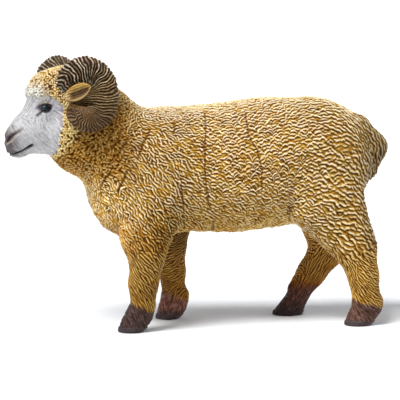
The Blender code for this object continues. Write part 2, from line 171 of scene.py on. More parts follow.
def soft_min(ds, k):
    ds = np.stack(ds)
    m = ds.min(0)
    return m - k * np.log(np.exp((m - ds) / k).sum(0))


FAR = 9.0


def reach(items, pad=7.0):
    lo, hi = np.full(3, 1e9), np.full(3, -1e9)
    for it in items:
        if it[0] == "ball":
            r = it[2].max() if it[3] else it[2]
            lo, hi = np.minimum(lo, it[1] - r), np.maximum(hi, it[1] + r)
        else:
            for c, r in ((it[1], it[2]), (it[3], it[4])):
                lo, hi = np.minimum(lo, c - r), np.maximum(hi, c + r)
    return lo - pad, hi + pad


def group(p, items, k, box, extra=None):
    out = np.full(len(p), FAR)
    inside = np.all((p > box[0]) & (p < box[1]), 1)
    q = p[inside]
    if len(q):
        ds = [dist(q, it) for it in items]
        d = soft_min(ds, k)
        if extra is not None:
            d = extra(q, d)
        out[inside] = d
    return out


def hoof_form(which):
    sy, tab = FOOT[which]
    tab = np.array(tab, float)

    def add(q, d):
        z = q[:, 2]
        u = np.clip(z, 0, 9)
        front, back = np.interp(u, tab[:, 0], tab[:, 1]), np.interp(u, tab[:, 0], tab[:, 2])
        lip = 0.22 * (1 - smooth(1.25, 1.6, z))      # the hoof wall stands just proud of the hair
        rx = (back - front) / 2 + lip
        ry = 3.55 - 0.03 * u + lip
        cx = (front + back) / 2
        k = np.sqrt(((q[:, 0] - cx) / rx) ** 2 + ((q[:, 1] - sy) / ry) ** 2)
        h = np.maximum((k - 1) * 3.5, z - 7.6)
        return np.maximum(soft_min([d, h], 0.35), -z)
    return add


TORSO_BOX = reach(TORSO)
LEG_BOX = {w: reach(i) for w, i in LEGS.items()}
for w in LEG_BOX:
    lo, hi = LEG_BOX[w]
    LEG_BOX[w] = (np.array([lo[0] - 3, lo[1], -8.0]), hi)
HOOF = {w: hoof_form(w) for w in LEGS}
HEAD_BOX = reach(HEAD)
TAIL_BOX = reach(TAIL)


def body_field(p):
    ds = [group(p, TORSO, 1.2, TORSO_BOX)]
    for w, items in LEGS.items():
        ds.append(group(p, items, 0.6, LEG_BOX[w], HOOF[w]))
    near = p[:, 0] < -20
    h = np.full(len(p), FAR)
    if near.any():
        h[near] = group(to_head(p[near]), HEAD, 0.8, HEAD_BOX)
    ds.append(h)
    ds.append(group(p, TAIL, 0.5, TAIL_BOX))
    ds = np.stack(ds)
    m = ds.min(0)
    # a soft fillet, with the sole cut kept crisp
    k = 0.9
    soft = m - k * np.log(np.exp((m - ds) / k).sum(0))
    low = smooth(7.0, 9.0, p[:, 2])
    return m * (1 - low) + soft * low


def level_mesh(field, lo, hi, cell):
    lo = np.array(lo, float)
    n = np.ceil((np.array(hi) - lo) / cell).astype(int) + 1
    xs = [lo[i] + cell * np.arange(n[i]) for i in range(3)]
    arr = np.empty(tuple(n), np.float32)
    yy, zz = np.meshgrid(xs[1], xs[2], indexing="ij")
    yz = np.stack([yy.ravel(), zz.ravel()], 1)
    step = max(1, 400000 // len(yz))
    for i in range(0, n[0], step):
        xx = xs[0][i:i + step]
        p = np.empty((len(xx), len(yz), 3))
        p[:, :, 0] = xx[:, None]
        p[:, :, 1:] = yz
        arr[i:i + step] = field(p.reshape(-1, 3)).reshape(len(xx), n[1], n[2])
    arr = np.clip(arr, -3 * cell, 3 * cell)
    g = vdb.FloatGrid(3 * cell)
    g.copyFromArray(arr)
    g.transform = vdb.createLinearTransform(voxelSize=cell)
    pts, quads = g.convertToQuads(isovalue=0.0)
    return np.asarray(pts, float) + lo, np.asarray(quads, np.int64)


def fill_mesh(me, pts, quads):
    me.vertices.add(len(pts))
    me.vertices.foreach_set("co", np.asarray(pts, np.float32).ravel())
    nf = len(quads)
    me.loops.add(nf * 4)
    me.loops.foreach_set("vertex_index", np.asarray(quads, np.int32).ravel())
    me.polygons.add(nf)
    me.polygons.foreach_set("loop_start", np.arange(0, nf * 4, 4, dtype=np.int32))
    me.update(calc_edges=True)


def read_mesh(me):
    co = np.empty(len(me.vertices) * 3, np.float32)
    me.vertices.foreach_get("co", co)
    q = np.empty(len(me.loops), np.int32)
    me.loops.foreach_get("vertex_index", q)
    return co.reshape(-1, 3).astype(float), q.reshape(-1, 4).astype(np.int64)


def refine(pts, quads, levels):
    me = bpy.data.meshes.new("work")
    fill_mesh(me, pts, quads)
    ob = bpy.data.objects.new("work", me)
    bpy.context.scene.collection.objects.link(ob)
    m = ob.modifiers.new("fine", "SUBSURF")
    m.levels = m.render_levels = levels
    m.boundary_smooth = "PRESERVE_CORNERS"
    dg = bpy.context.evaluated_depsgraph_get()
    out = bpy.data.meshes.new_from_object(ob.evaluated_get(dg))
    co, q = read_mesh(out)
    bpy.data.objects.remove(ob, do_unlink=True)
    bpy.data.meshes.remove(me)
    bpy.data.meshes.remove(out)
    return co, q


def gradient(field, p, e=0.03):
    g = np.empty_like(p)
    for i in range(3):
        d = np.zeros(3)
        d[i] = e
        g[:, i] = (field(p + d) - field(p - d)) / (2 * e)
    return g


def settle(field, p, rounds=2):
    g = None
    for _ in range(rounds):
        g = gradient(field, p)
        s = np.einsum("ij,ij->i", g, g) + 1e-9
        d = field(p)
        p = p - np.clip(d / s, -0.5, 0.5)[:, None] * g
    return p, g / (np.linalg.norm(g, axis=1)[:, None] + 1e-9)


# -------------------------------------------------------------------- noises
def hashed(i, j, k, seed):
    n = (i * 374761393 + j * 668265263 + k * 2147483647 + seed * 1274126177) & 0xFFFFFFFF
    n = ((n ^ (n >> 13)) * 1274126177) & 0xFFFFFFFF
    n = (n ^ (n >> 16)) & 0xFFFFFFFF
    return n / 4294967295.0 * 2 - 1


def noise(p, size, seed=0):
    """Smooth value noise, -1 to 1."""
    q = p / size
    b = np.floor(q).astype(np.int64)
    f = q - b
    f = f * f * (3 - 2 * f)
    out = 0.0
    for dx in (0, 1):
        wx = f[:, 0] if dx else 1 - f[:, 0]
        for dy in (0, 1):
            wy = f[:, 1] if dy else 1 - f[:, 1]
            for dz in (0, 1):
                wz = f[:, 2] if dz else 1 - f[:, 2]
                out = out + wx * wy * wz * hashed(b[:, 0] + dx, b[:, 1] + dy, b[:, 2] + dz, seed)
    return out


# ------------------------------------------------- where wool, hair and paint lie
FACE_BACK = np.array([(-18, 7.4), (-15.2, 8.2), (-13.2, 8.4), (-10.4, 8.1), (-7.5, 7.9), (-4.7, 7.4), (-1.8, 7.2), (-0.2, 7.8), (2.0, 8.6), (14, 9)], float)
FACE_TOP = np.array([(0, -2.0), (7.6, -0.8), (8.2, 0.0), (9.0, 0.8), (10.9, 1.9), (12.6, 1.4), (13.7, 0.8), (14.8, 2.3), (16, 1.6), (20, 1.2)], float)


def wool_on_head(q):
    """About the distance in mm into the wool, on the head; under 0 on the bare face."""
    f, u = q[:, 0], q[:, 2]
    back = np.interp(u, FACE_BACK[:, 0], FACE_BACK[:, 1]) - f
    top = u - np.interp(f, FACE_TOP[:, 0], FACE_TOP[:, 1])
    return np.maximum(back, top)


# Line angle in degrees (down toward the tail), arch per mm, pitch mm, angle scatter
FLOW = np.array([
    # x, z, angle, arch, pitch, scatter
    (43, 63, 16, .30, .95, 8), (47, 59, 42, .15, .92, 8), (54, 54, 72, .05, .95, 7), (53, 47, 98, .05, .95, 8), (46, 50, 30, .30, .92, 8), (48, 42, 36, .30, .92, 8), (48, 34, 28, .30, .92, 8),
    (45, 27, 32, .25, .88, 10), (38, 61, 8, .42, .98, 8), (38, 51, 8, .50, .98, 7), (38, 42, 14, .50, .95, 8),
    (38, 33, 18, .40, .92, 10), (30, 63, -4, .40, .98, 8), (30, 54, 0, .55, .98, 7), (30, 44, 2, .55, .92, 8),
    (30, 34, 12, .45, .88, 10), (22, 64, -14, .35, .95, 9), (21, 55, -3, .55, .92, 8), (21, 45, 0, .60, .90, 8),
    (21, 36, 6, .50, .86, 10), (21, 29, 28, .10, .74, 14), (12, 64, -10, .35, .92, 10), (11, 54, 0, .60, .90, 9),
    (11, 45, 0, .60, .88, 9), (11, 36, 10, .50, .84, 10), (11, 29, 32, .10, .74, 14), (2, 62, 0, .35, .90, 10),
    (2, 53, 6, .50, .88, 10), (2, 44, 10, .50, .86, 10), (2, 35, 20, .30, .82, 12), (2, 29, 35, .10, .74, 14),
    (-7, 62, 8, .30, .88, 14), (-7, 53, 26, .25, .84, 12), (-7, 44, 38, .15, .82, 12), (-7, 34, 44, .10, .80, 12),
    (-15, 61, 20, .15, .88, 20), (-15, 52, 46, .10, .82, 14), (-15, 44, 52, .05, .80, 12), (-15, 34, 52, .05, .80, 12),
    (-16, 27, 50, .0, .78, 10), (-22, 62, -30, .15, .92, 35), (-22, 53, 52, .10, .88, 22), (-22, 43, 55, .05, .84, 16),
    (-24, 33, 56, .0, .82, 14), (-28, 60, -50, .2, .98, 45), (-30, 50, -60, .2, .98, 45), (-31, 40, 60, .1, .90, 24),
    (-37, 54, -60, .2, .95, 50), (-36, 66, 0, .2, .95, 60), (-46, 70, 0, .2, .90, 60)], float)
LEG_FLOW = {  # z, angle, arch, pitch, scatter
    "front_left": np.array([(0, 74, 0, .62, 5), (5, 68, 0, .66, 6), (9, 60, 0, .74, 6), (16, 50, 0, .78, 6), (23, 48, 0, .80, 8)], float),
    "front_right": np.array([(0, 78, 0, .62, 5), (5, 80, 0, .66, 6), (9, 40, 0, .74, 8), (15, 20, .1, .76, 6), (23, 26, .1, .80, 8)], float),
    "hind_left": np.array([(0, 55, 0, .62, 8), (5, 50, 0, .66, 8), (9, 44, 0, .76, 8), (15, 40, 0, .78, 8), (22, 34, .1, .84, 10)], float),
    "hind_right": np.array([(0, 60, 0, .62, 5), (5, 66, 0, .66, 6), (9, 66, 0, .74, 6), (15, 62, 0, .78, 6), (23, 50, .1, .82, 8)], float),
}
HAIR_TOP = {"front_left": (22.5, 7.0), "front_right": (26.0, 5.0), "hind_left": (21.0, 5.0), "hind_right": (27.0, 5.0)}


def leg_of(p):
    """0-3: which leg a low point belongs to."""
    left = p[:, 1] < 0
    front = p[:, 0] < 12
    return np.where(front, np.where(left, 0, 1), np.where(left, 2, 3))


LEG_NAMES = ["front_left", "front_right", "hind_left", "hind_right"]

PARTINGS = [  # on the left side, mm, with depth
    ([(0.1, -7.9, 62.0), (-1.0, -13.9, 53.7), (-1.2, -15.2, 45.2), (-0.1, -13.7, 37.9), (3.1, -5.8, 28.9)], 0.50),
    ([(-8.2, -15.3, 42.5), (-7.4, -14.2, 36.6), (-5.9, -6.8, 29.2)], 0.45),
    ([(-9.2, -9.6, 60.1), (-9.4, -12.1, 57.1)], 0.35),
    ([(-16.4, -11.2, 58.0), (-18.4, -13.1, 54.4), (-20.3, -14.1, 50.2)], 0.55),
    ([(-23.0, -12.8, 55.8), (-24.5, -13.3, 53.3), (-25.9, -13.3, 51.1)], 0.55),
    ([(-27.3, -12.6, 47.4), (-29.1, -11.0, 44.4), (-30.5, -8.6, 41.4)], 0.55),
    ([(-23.1, -13.9, 46.8), (-24.5, -13.3, 44.0), (-25.8, -12.2, 40.5)], 0.50),
    ([(11.8, -9.4, 61.9), (11.6, -11.7, 59.2), (11.6, -13.4, 56.4), (12.6, -14.2, 54.4), (14.2, -14.9, 52.1), (15.2, -15.6, 46.0), (15.4, -15.3, 40.5)], 0.42),
    ([(-27.2, -12.7, 58.1), (-27.8, -12.9, 56.7), (-28.7, -12.9, 55.3)], 0.50),
    ([(-24.6, -12.5, 58.1), (-26.1, -13.1, 55.0), (-27.6, -13.0, 52.5)], 0.50),
]


def seg_dist(p, a, b):
    ab = b - a
    t = np.clip((p - a) @ ab / (ab @ ab), 0, 1)
    w = p - a - t[:, None] * ab
    return np.sqrt(np.einsum("ij,ij->i", w, w)), t


def line_dist(p, line, pad=2.0):
    line = np.array(line, float)
    out = np.full(len(p), 9.0)
    lo, hi = line.min(0) - pad, line.max(0) + pad
    idx = np.nonzero(np.all((p > lo) & (p < hi), 1))[0]
    if len(idx):
        q = p[idx]
        best = np.full(len(q), 9.0)
        for a, b in zip(line[:-1], line[1:]):
            d, _ = seg_dist(q, a, b)
            best = np.minimum(best, d)
        out[idx] = best
    return out


def parting_depth(p):
    out = np.zeros(len(p))
    for mirror in (False, True):
        q = p.copy()
        if mirror:
            q[:, 1] = -q[:, 1]
            q[:, 0] += 2.3
            q[:, 2] += 1.1
        near = q[:, 1] < -3
        q = q + 0.24 * np.stack([noise(p, 1.7, 31), noise(p, 1.7, 32), noise(p, 1.7, 33)], 1)
        flat = np.array([1, 0.2, 1])           # the lines are drawn on the side, so depth counts little
        for line, depth in PARTINGS:
            d = line_dist(q * flat, np.array(line) * flat)
            out = np.maximum(out, np.where(near, 0.62 * depth * np.exp(-(d / 0.30) ** 2), 0))
    return out


def tangents(p, n):
    """The surface's tailward and upward directions at points p with normals n."""
    side = np.where(p[:, 1] < 0, 1.0, -1.0)
    x = np.array([1.0, 0, 0])
    t = x - n * n[:, :1]
    h = np.stack([-n[:, 1], n[:, 0], np.zeros(len(n))], 1)
    t = t + (np.abs(n[:, 0]) ** 3 * side)[:, None] * h
    t /= np.linalg.norm(t, axis=1)[:, None] + 1e-9
    t -= n * np.einsum("ij,ij->i", t, n)[:, None]
    t /= np.linalg.norm(t, axis=1)[:, None] + 1e-9
    u = np.cross(n, t) * side[:, None]
    return t, u


EYE = np.array([11.9, 6.1, -1.2])
TUFT = (14.3, 2.6)


def face_flow(q):
    """Hair direction on the face, in the head frame (forward, left, up)."""
    e = EYE * np.array([1, 0, 1])
    d = q * np.array([1, 0, 1]) - e
    r = np.linalg.norm(d, axis=1)
    out = d / (r[:, None] + 0.3)
    down_back = np.array([-0.70, 0, -0.72])
    ridge = np.array([-0.75, 0, 0.66])
    w = smooth(2.5, 7.5, r)[:, None]
    bridge = smooth(0.0, 2.5, q[:, 2] - (-0.62 * (q[:, 0] - 12.5) - 1.5))[:, None]
    out = out * (1 - w) + down_back * w
    out = out * (1 - bridge) + ridge * bridge
    return out / (np.linalg.norm(out, axis=1)[:, None] + 1e-9)


def zones(p):
    """Masks for each point: dict of arrays."""
    q = to_head(p)
    on_head = smooth(-0.6, 0.6, (p - NECK_A) @ NECK_N) * smooth(40, 46, p[:, 2])
    jitter = 0.30 * noise(p, 0.9, 5) + 0.35 * noise(p, 2.2, 6)
    w = wool_on_head(q) + jitter + 0.35 * noise(p, 1.2, 7) * smooth(-2.5, 0.0, q[:, 2])
    face = (1 - smooth(-0.35, 0.35, w)) * (q[:, 0] > 5.0) * (p[:, 2] > 48) * (p[:, 0] < -38)
    which = leg_of(p)
    hair = np.zeros(len(p))
    foot = np.zeros(len(p))
    slab = np.zeros(len(p))
    low = p[:, 2] < 32
    for i, name in enumerate(LEG_NAMES):
        s = low & (which == i)
        if not s.any():
            continue
        z = p[s, 2]
        top, span = HAIR_TOP[name]
        x = p[s, 0]
        line = top + 1.0 * noise(p[s], 2.4, 11)
        if name == "hind_left":   # the wool hangs lower at the front of the thigh
            line = line + 0.30 * (x - 45.0)
        hair[s] = 1 - smooth(line - span / 2, line + span / 2, z)
        sx = SOLE[name][0]
        tilt, at, level, soft = {"front_left": (-0.42, -22.0, 8.2, 0.7), "front_right": (-0.42, -9.5, 8.2, 0.9),
                                 "hind_left": (-0.30, 43.7, 7.6, 0.7), "hind_right": (-0.10, 29.0, 9.4, 1.6)}[name]
        edge = level + tilt * (x - at) + 0.6 * noise(p[s], 1.1, 12)
        foot[s] = 1 - smooth(edge - soft, edge + soft, z)
        slab[s] = 1 - smooth(1.45, 1.75, z - 0.10 * (sx - x))
    return {"q": q, "face": face, "wool": w, "hair": hair, "foot": foot, "slab": slab, "on_head": on_head, "leg": which}


def flow_at(p, z):
    """angle, arch, pitch, scatter for each kernel centre."""
    d2 = (p[:, None, 0] - FLOW[None, :, 0]) ** 2 + (p[:, None, 2] - FLOW[None, :, 1]) ** 2
    w = np.exp(-(d2 - d2.min(1)[:, None]) / (2 * 3.6 ** 2))
    w /= w.sum(1)[:, None]
    out = w @ FLOW[:, 2:]
    for i, name in enumerate(LEG_NAMES):
        s = (z["leg"] == i) & (p[:, 2] < 30)
        if s.any():
            tab = LEG_FLOW[name]
            leg = np.stack([np.interp(p[s, 2], tab[:, 0], tab[:, c]) for c in (1, 2, 3, 4)], 1)
            a = (1 - smooth(HAIR_TOP[name][0] - 2.0, HAIR_TOP[name][0] + 4.0, p[s, 2]))[:, None]
            if name == "hind_left":            # the hair fans from steep in front to flat behind
                leg[:, 0] -= np.clip((p[s, 0] - 46.5) * 5.0, -20, 22)
            out[s] = out[s] * (1 - a) + leg * a
    return out


class Bins:
    """Points sorted into cubes, to find those near a centre."""

    def __init__(self, p, size):
        self.size = size
        self.lo = p.min(0) - size
        c = np.floor((p - self.lo) / size).astype(np.int64)
        self.n = c.max(0) + 3
        key = (c[:, 0] * self.n[1] + c[:, 1]) * self.n[2] + c[:, 2]
        self.order = np.argsort(key, kind="stable")
        ks = key[self.order]
        uniq, start = np.unique(ks, return_index=True)
        end = np.append(start[1:], len(ks))
        self.cells = {int(k): (int(a), int(b)) for k, a, b in zip(uniq, start, end)}

    def near(self, c, r):
        a = np.floor((c - r - self.lo) / self.size).astype(int)
        b = np.floor((c + r - self.lo) / self.size).astype(int)
        out = []
        for i in range(a[0], b[0] + 1):
            for j in range(a[1], b[1] + 1):
                base = (i * int(self.n[1]) + j) * int(self.n[2])
                for k in range(a[2], b[2] + 1):
                    s = self.cells.get(base + k)
                    if s:
                        out.append(self.order[s[0]:s[1]])
        return np.concatenate(out) if out else np.empty(0, np.int64)


# How big a strand of wool or hair is in each region: half length along it, and the room it takes across
def lock_size(p, z):
    x, h = p[:, 0], p[:, 2]
    rump = smooth(24, 36, x)
    wide = 1.28 + 0.45 * rump
    long_ = 0.305 + 0.015 * rump
    short = np.clip(smooth(3, -5, x) + (1 - smooth(29, 35, h)) * (1 - 0.6 * rump), 0, 1)      # shoulder, chest and belly
    wide = wide * (1 - short) + 0.92 * short
    long_ = long_ * (1 - short) + 0.270 * short
    curl = smooth(-19, -25, x) * smooth(40, 48, h)
    wide = wide * (1 - curl) + 0.56 * curl
    long_ = long_ * (1 - curl) + 0.33 * curl
    on_head = z["on_head"] > 0.5
    wide = np.where(on_head, 0.44, wide)
    long_ = np.where(on_head, 0.30, long_)
    hair = z["hair"] > 0.5
    wide = np.where(hair, 1.55, wide)
    long_ = np.where(hair, 0.240, long_)
    foot = z["foot"] > 0.5
    wide = np.where(foot, 1.3, wide)
    long_ = np.where(foot, 0.26, long_)
    face = z["face"] > 0.5
    wide = np.where(face, 1.9, wide)
    long_ = np.where(face, 0.235, long_)
    return wide, long_


def crimp_size(p, z):
    """Distance from one crimp line to the next, and how far a line runs straight (mm)."""
    x, h = p[:, 0], p[:, 2]
    rump = smooth(22, 40, x)
    gap = 1.12 + 0.34 * rump
    run = 1.02 + 0.50 * rump
    belly = (1 - smooth(29, 36, h)) * (1 - rump)
    gap = gap * (1 - belly) + 0.92 * belly
    front = smooth(2, -8, x)
    gap = gap * (1 - front) + 0.96 * front
    run = run * (1 - front) + 0.90 * front
    hair = z["hair"] > 0.5
    gap = np.where(hair, 0.80, gap)
    run = np.where(hair, 1.7, run)
    return gap, run


def scatter_locks(p, t, u, wide, long_, seed):
    """Indices of lock centres, no two nearer than about a lock's own size."""
    rng = np.random.RandomState(seed)
    order = rng.permutation(len(p))
    size = 1.5
    reach_ = 1.0 * np.maximum(wide, long_) * 1.5
    cell = {}
    kept = []
    pl, tl, ul = p.tolist(), t.tolist(), u.tolist()
    wl, ll, rl = (wide * 1.55).tolist(), (long_ * 1.55).tolist(), reach_.tolist()
    for i in order:
        x, y, z = pl[i]
        tx, ty, tz = tl[i]
        ux, uy, uz = ul[i]
        a0, b0, r = wl[i], ll[i], rl[i]
        ci, cj, ck = int(x // size), int(y // size), int(z // size)
        span = 1 if r < size else 2
        ok = True
        for a in range(ci - span, ci + span + 1):
            for b in range(cj - span, cj + span + 1):
                for c in range(ck - span, ck + span + 1):
                    for (qx, qy, qz) in cell.get((a, b, c), ()):
                        dx, dy, dz = qx - x, qy - y, qz - z
                        da = (dx * tx + dy * ty + dz * tz) / a0
                        db = (dx * ux + dy * uy + dz * uz) / b0
                        if da * da + db * db < 1 and dx * dx + dy * dy + dz * dz < r * r * 1.4:
                            ok = False
                            break
                    if not ok:
                        break
                if not ok:
                    break
            if not ok:
                break
        if ok:
            cell.setdefault((ci, cj, ck), []).append((x, y, z))
            kept.append(i)
    return np.array(kept)


class Strands:
    """Short overlapping strands. Each is a rounded ridge with its own bend, length and height, and the highest rules."""

    def __init__(self, p, n, seed=3):
        z = zones(p)
        rng = np.random.RandomState(seed + 1)
        m = len(p)
        fl = flow_at(p, z)
        hairy = z["hair"] > 0.5
        shaggy = smooth(3, -5, p[:, 0]) * (1 - hairy)
        spread = np.where(hairy, 1.0, 1.0 + 0.25 * shaggy)
        angle = np.radians(fl[:, 0] + rng.normal(size=m) * fl[:, 3] * spread)
        wild = (z["on_head"] > 0.5) & (z["face"] < 0.5)
        angle = np.where(wild, rng.uniform(0, 2 * math.pi, m), angle)
        t0, u0 = tangents(p, n)
        t = np.cos(angle)[:, None] * t0 - np.sin(angle)[:, None] * u0
        u = np.sin(angle)[:, None] * t0 + np.cos(angle)[:, None] * u0
        arch = 1.95 * fl[:, 1] * (1 - 0.50 * smooth(22, 38, p[:, 0])) * rng.uniform(0.5, 1.6, m) + rng.normal(size=m) * (0.12 + 0.10 * shaggy) * (1 - hairy)
        arch = np.where(wild, rng.uniform(-1.4, 1.4, m), arch)
        face = z["face"] > 0.5
        q = z["q"]
        flow = face_flow(q[face]) @ HEAD_AXES.T
        nf = n[face]
        ft = flow - nf * np.einsum("ij,ij->i", flow, nf)[:, None]
        ft /= np.linalg.norm(ft, axis=1)[:, None] + 1e-9
        fu = np.cross(nf, ft)
        ja = rng.normal(size=face.sum()) * 0.13
        t[face] = np.cos(ja)[:, None] * ft - np.sin(ja)[:, None] * fu
        u[face] = np.sin(ja)[:, None] * ft + np.cos(ja)[:, None] * fu
        arch[face] = rng.normal(size=face.sum()) * 0.04
        wide, long_ = lock_size(p, z)
        grow = rng.uniform(0.80, 1.20, m)
        wide = wide * grow
        keep = scatter_locks(p, t, u, wide, long_, seed)
        self.c, self.n, self.t, self.u = p[keep], n[keep], t[keep], u[keep]
        m = len(keep)
        self.arch = arch[keep]
        self.half = wide[keep] * rng.uniform(1.25, 1.95, m)
        self.rad = long_[keep] * rng.uniform(1.12, 1.42, m)
        self.level = rng.uniform(0.80, 1.0, m)
        still = (z["hair"][keep] > 0.5) | face[keep]
        self.bend = rng.normal(size=m) * np.where(still, 0.03, 0.13)
        self.turn = rng.uniform(0, 2 * math.pi, m)
        self.high = rng.uniform(-1, 1, m)
        gap, run = crimp_size(p, z)
        self.gap, self.run = gap[keep], run[keep]

    def ridges(self, p):
        """Ridge height 0-1, distance to the next strand 0-1, the strand's own number from -1 to 1, and the crimp wave."""
        bins = Bins(p, 1.6)
        best = np.full(len(p), -1.5)
        second = np.full(len(p), -1.5)
        high = np.zeros(len(p))
        even = np.zeros(len(p))
        odd = np.zeros(len(p))
        total = np.full(len(p), 1e-6)
        sway = 0.09 * noise(p, 0.9, 70)
        for i in range(len(self.c)):
            r = 1.25 * max(self.half[i], self.rad[i], 1.2 * self.run[i])
            idx = bins.near(self.c[i], r)
            if not len(idx):
                continue
            d = p[idx] - self.c[i]
            a, b, e = d @ self.t[i], d @ self.u[i], d @ self.n[i]
            ok = (np.abs(a) < max(1.4 * self.half[i], 2.0 * self.run[i])) & (np.abs(e) < 1.6) & (np.abs(b) < 2.4)
            idx, a, b = idx[ok], a[ok], b[ok]
            b = b + 0.5 * self.arch[i] * a * a + self.bend[i] * np.sin(2.0 * a + self.turn[i]) + sway[idx]
            v = self.level[i] - (a / self.half[i]) ** 2 - (b / self.rad[i]) ** 2
            cur = best[idx]
            up = v > cur
            second[idx] = np.where(up, cur, np.maximum(second[idx], v))
            best[idx] = np.where(up, v, cur)
            high[idx] = np.where(up, self.high[i], high[idx])
            w = np.exp(-(a / self.run[i]) ** 2 - (b / (0.62 * self.gap[i])) ** 2)
            turn = 2 * math.pi * b / self.gap[i]
            even[idx] += w * np.cos(turn)
            odd[idx] += w * np.sin(turn)
            total[idx] += w
        size = np.hypot(even, odd) + 1e-9
        return (np.clip((best + 0.30) / 1.15, 0, 1), np.clip((best - second) / 0.6, 0, 1), high,
                even / size, odd / size, np.clip(1.5 * size / total, 0, 1))


def srgb(h):
    c = np.array([int(h[i:i + 2], 16) / 255 for i in (1, 3, 5)])
    return np.where(c <= 0.04045, c / 12.92, ((c + 0.055) / 1.055) ** 2.4)


def ramp(t, stops):
    xs = [s[0] for s in stops]
    cs = np.array([srgb(s[1]) for s in stops])
    return np.stack([np.interp(t, xs, cs[:, i]) for i in range(3)], 1)


def mix(a, b, w):
    w = np.asarray(w)
    if w.ndim == 1:
        w = w[:, None]
    return a * (1 - w) + b * w


NOSTRIL = [(22.0, 0.9, -10.7), (21.5, 1.8, -9.7), (20.5, 2.6, -8.7), (19.3, 3.0, -8.1), (18.4, 3.2, -7.6)]
NOSTRIL_LOW = [(22.0, 1.2, -11.5), (20.9, 2.6, -10.6), (19.5, 3.3, -9.3), (18.4, 3.4, -8.2), (17.8, 3.3, -7.2)]
NOSTRIL_HIGH = [(21.6, 1.1, -9.0), (20.6, 1.9, -7.8), (19.1, 2.2, -6.7), (18.1, 2.6, -6.4)]
MOUTH = [(21.4, 0.0, -14.4), (20.4, 1.5, -14.5), (19.5, 2.8, -14.0), (18.0, 3.4, -13.3), (16.4, 3.7, -12.4), (15.3, 4.1, -11.8)]
TEAR = [(12.9, 5.8, -2.0), (13.5, 5.4, -2.7), (14.2, 4.9, -3.4)]


def flat_colour(h, n):
    return np.tile(srgb(h), (n, 1))


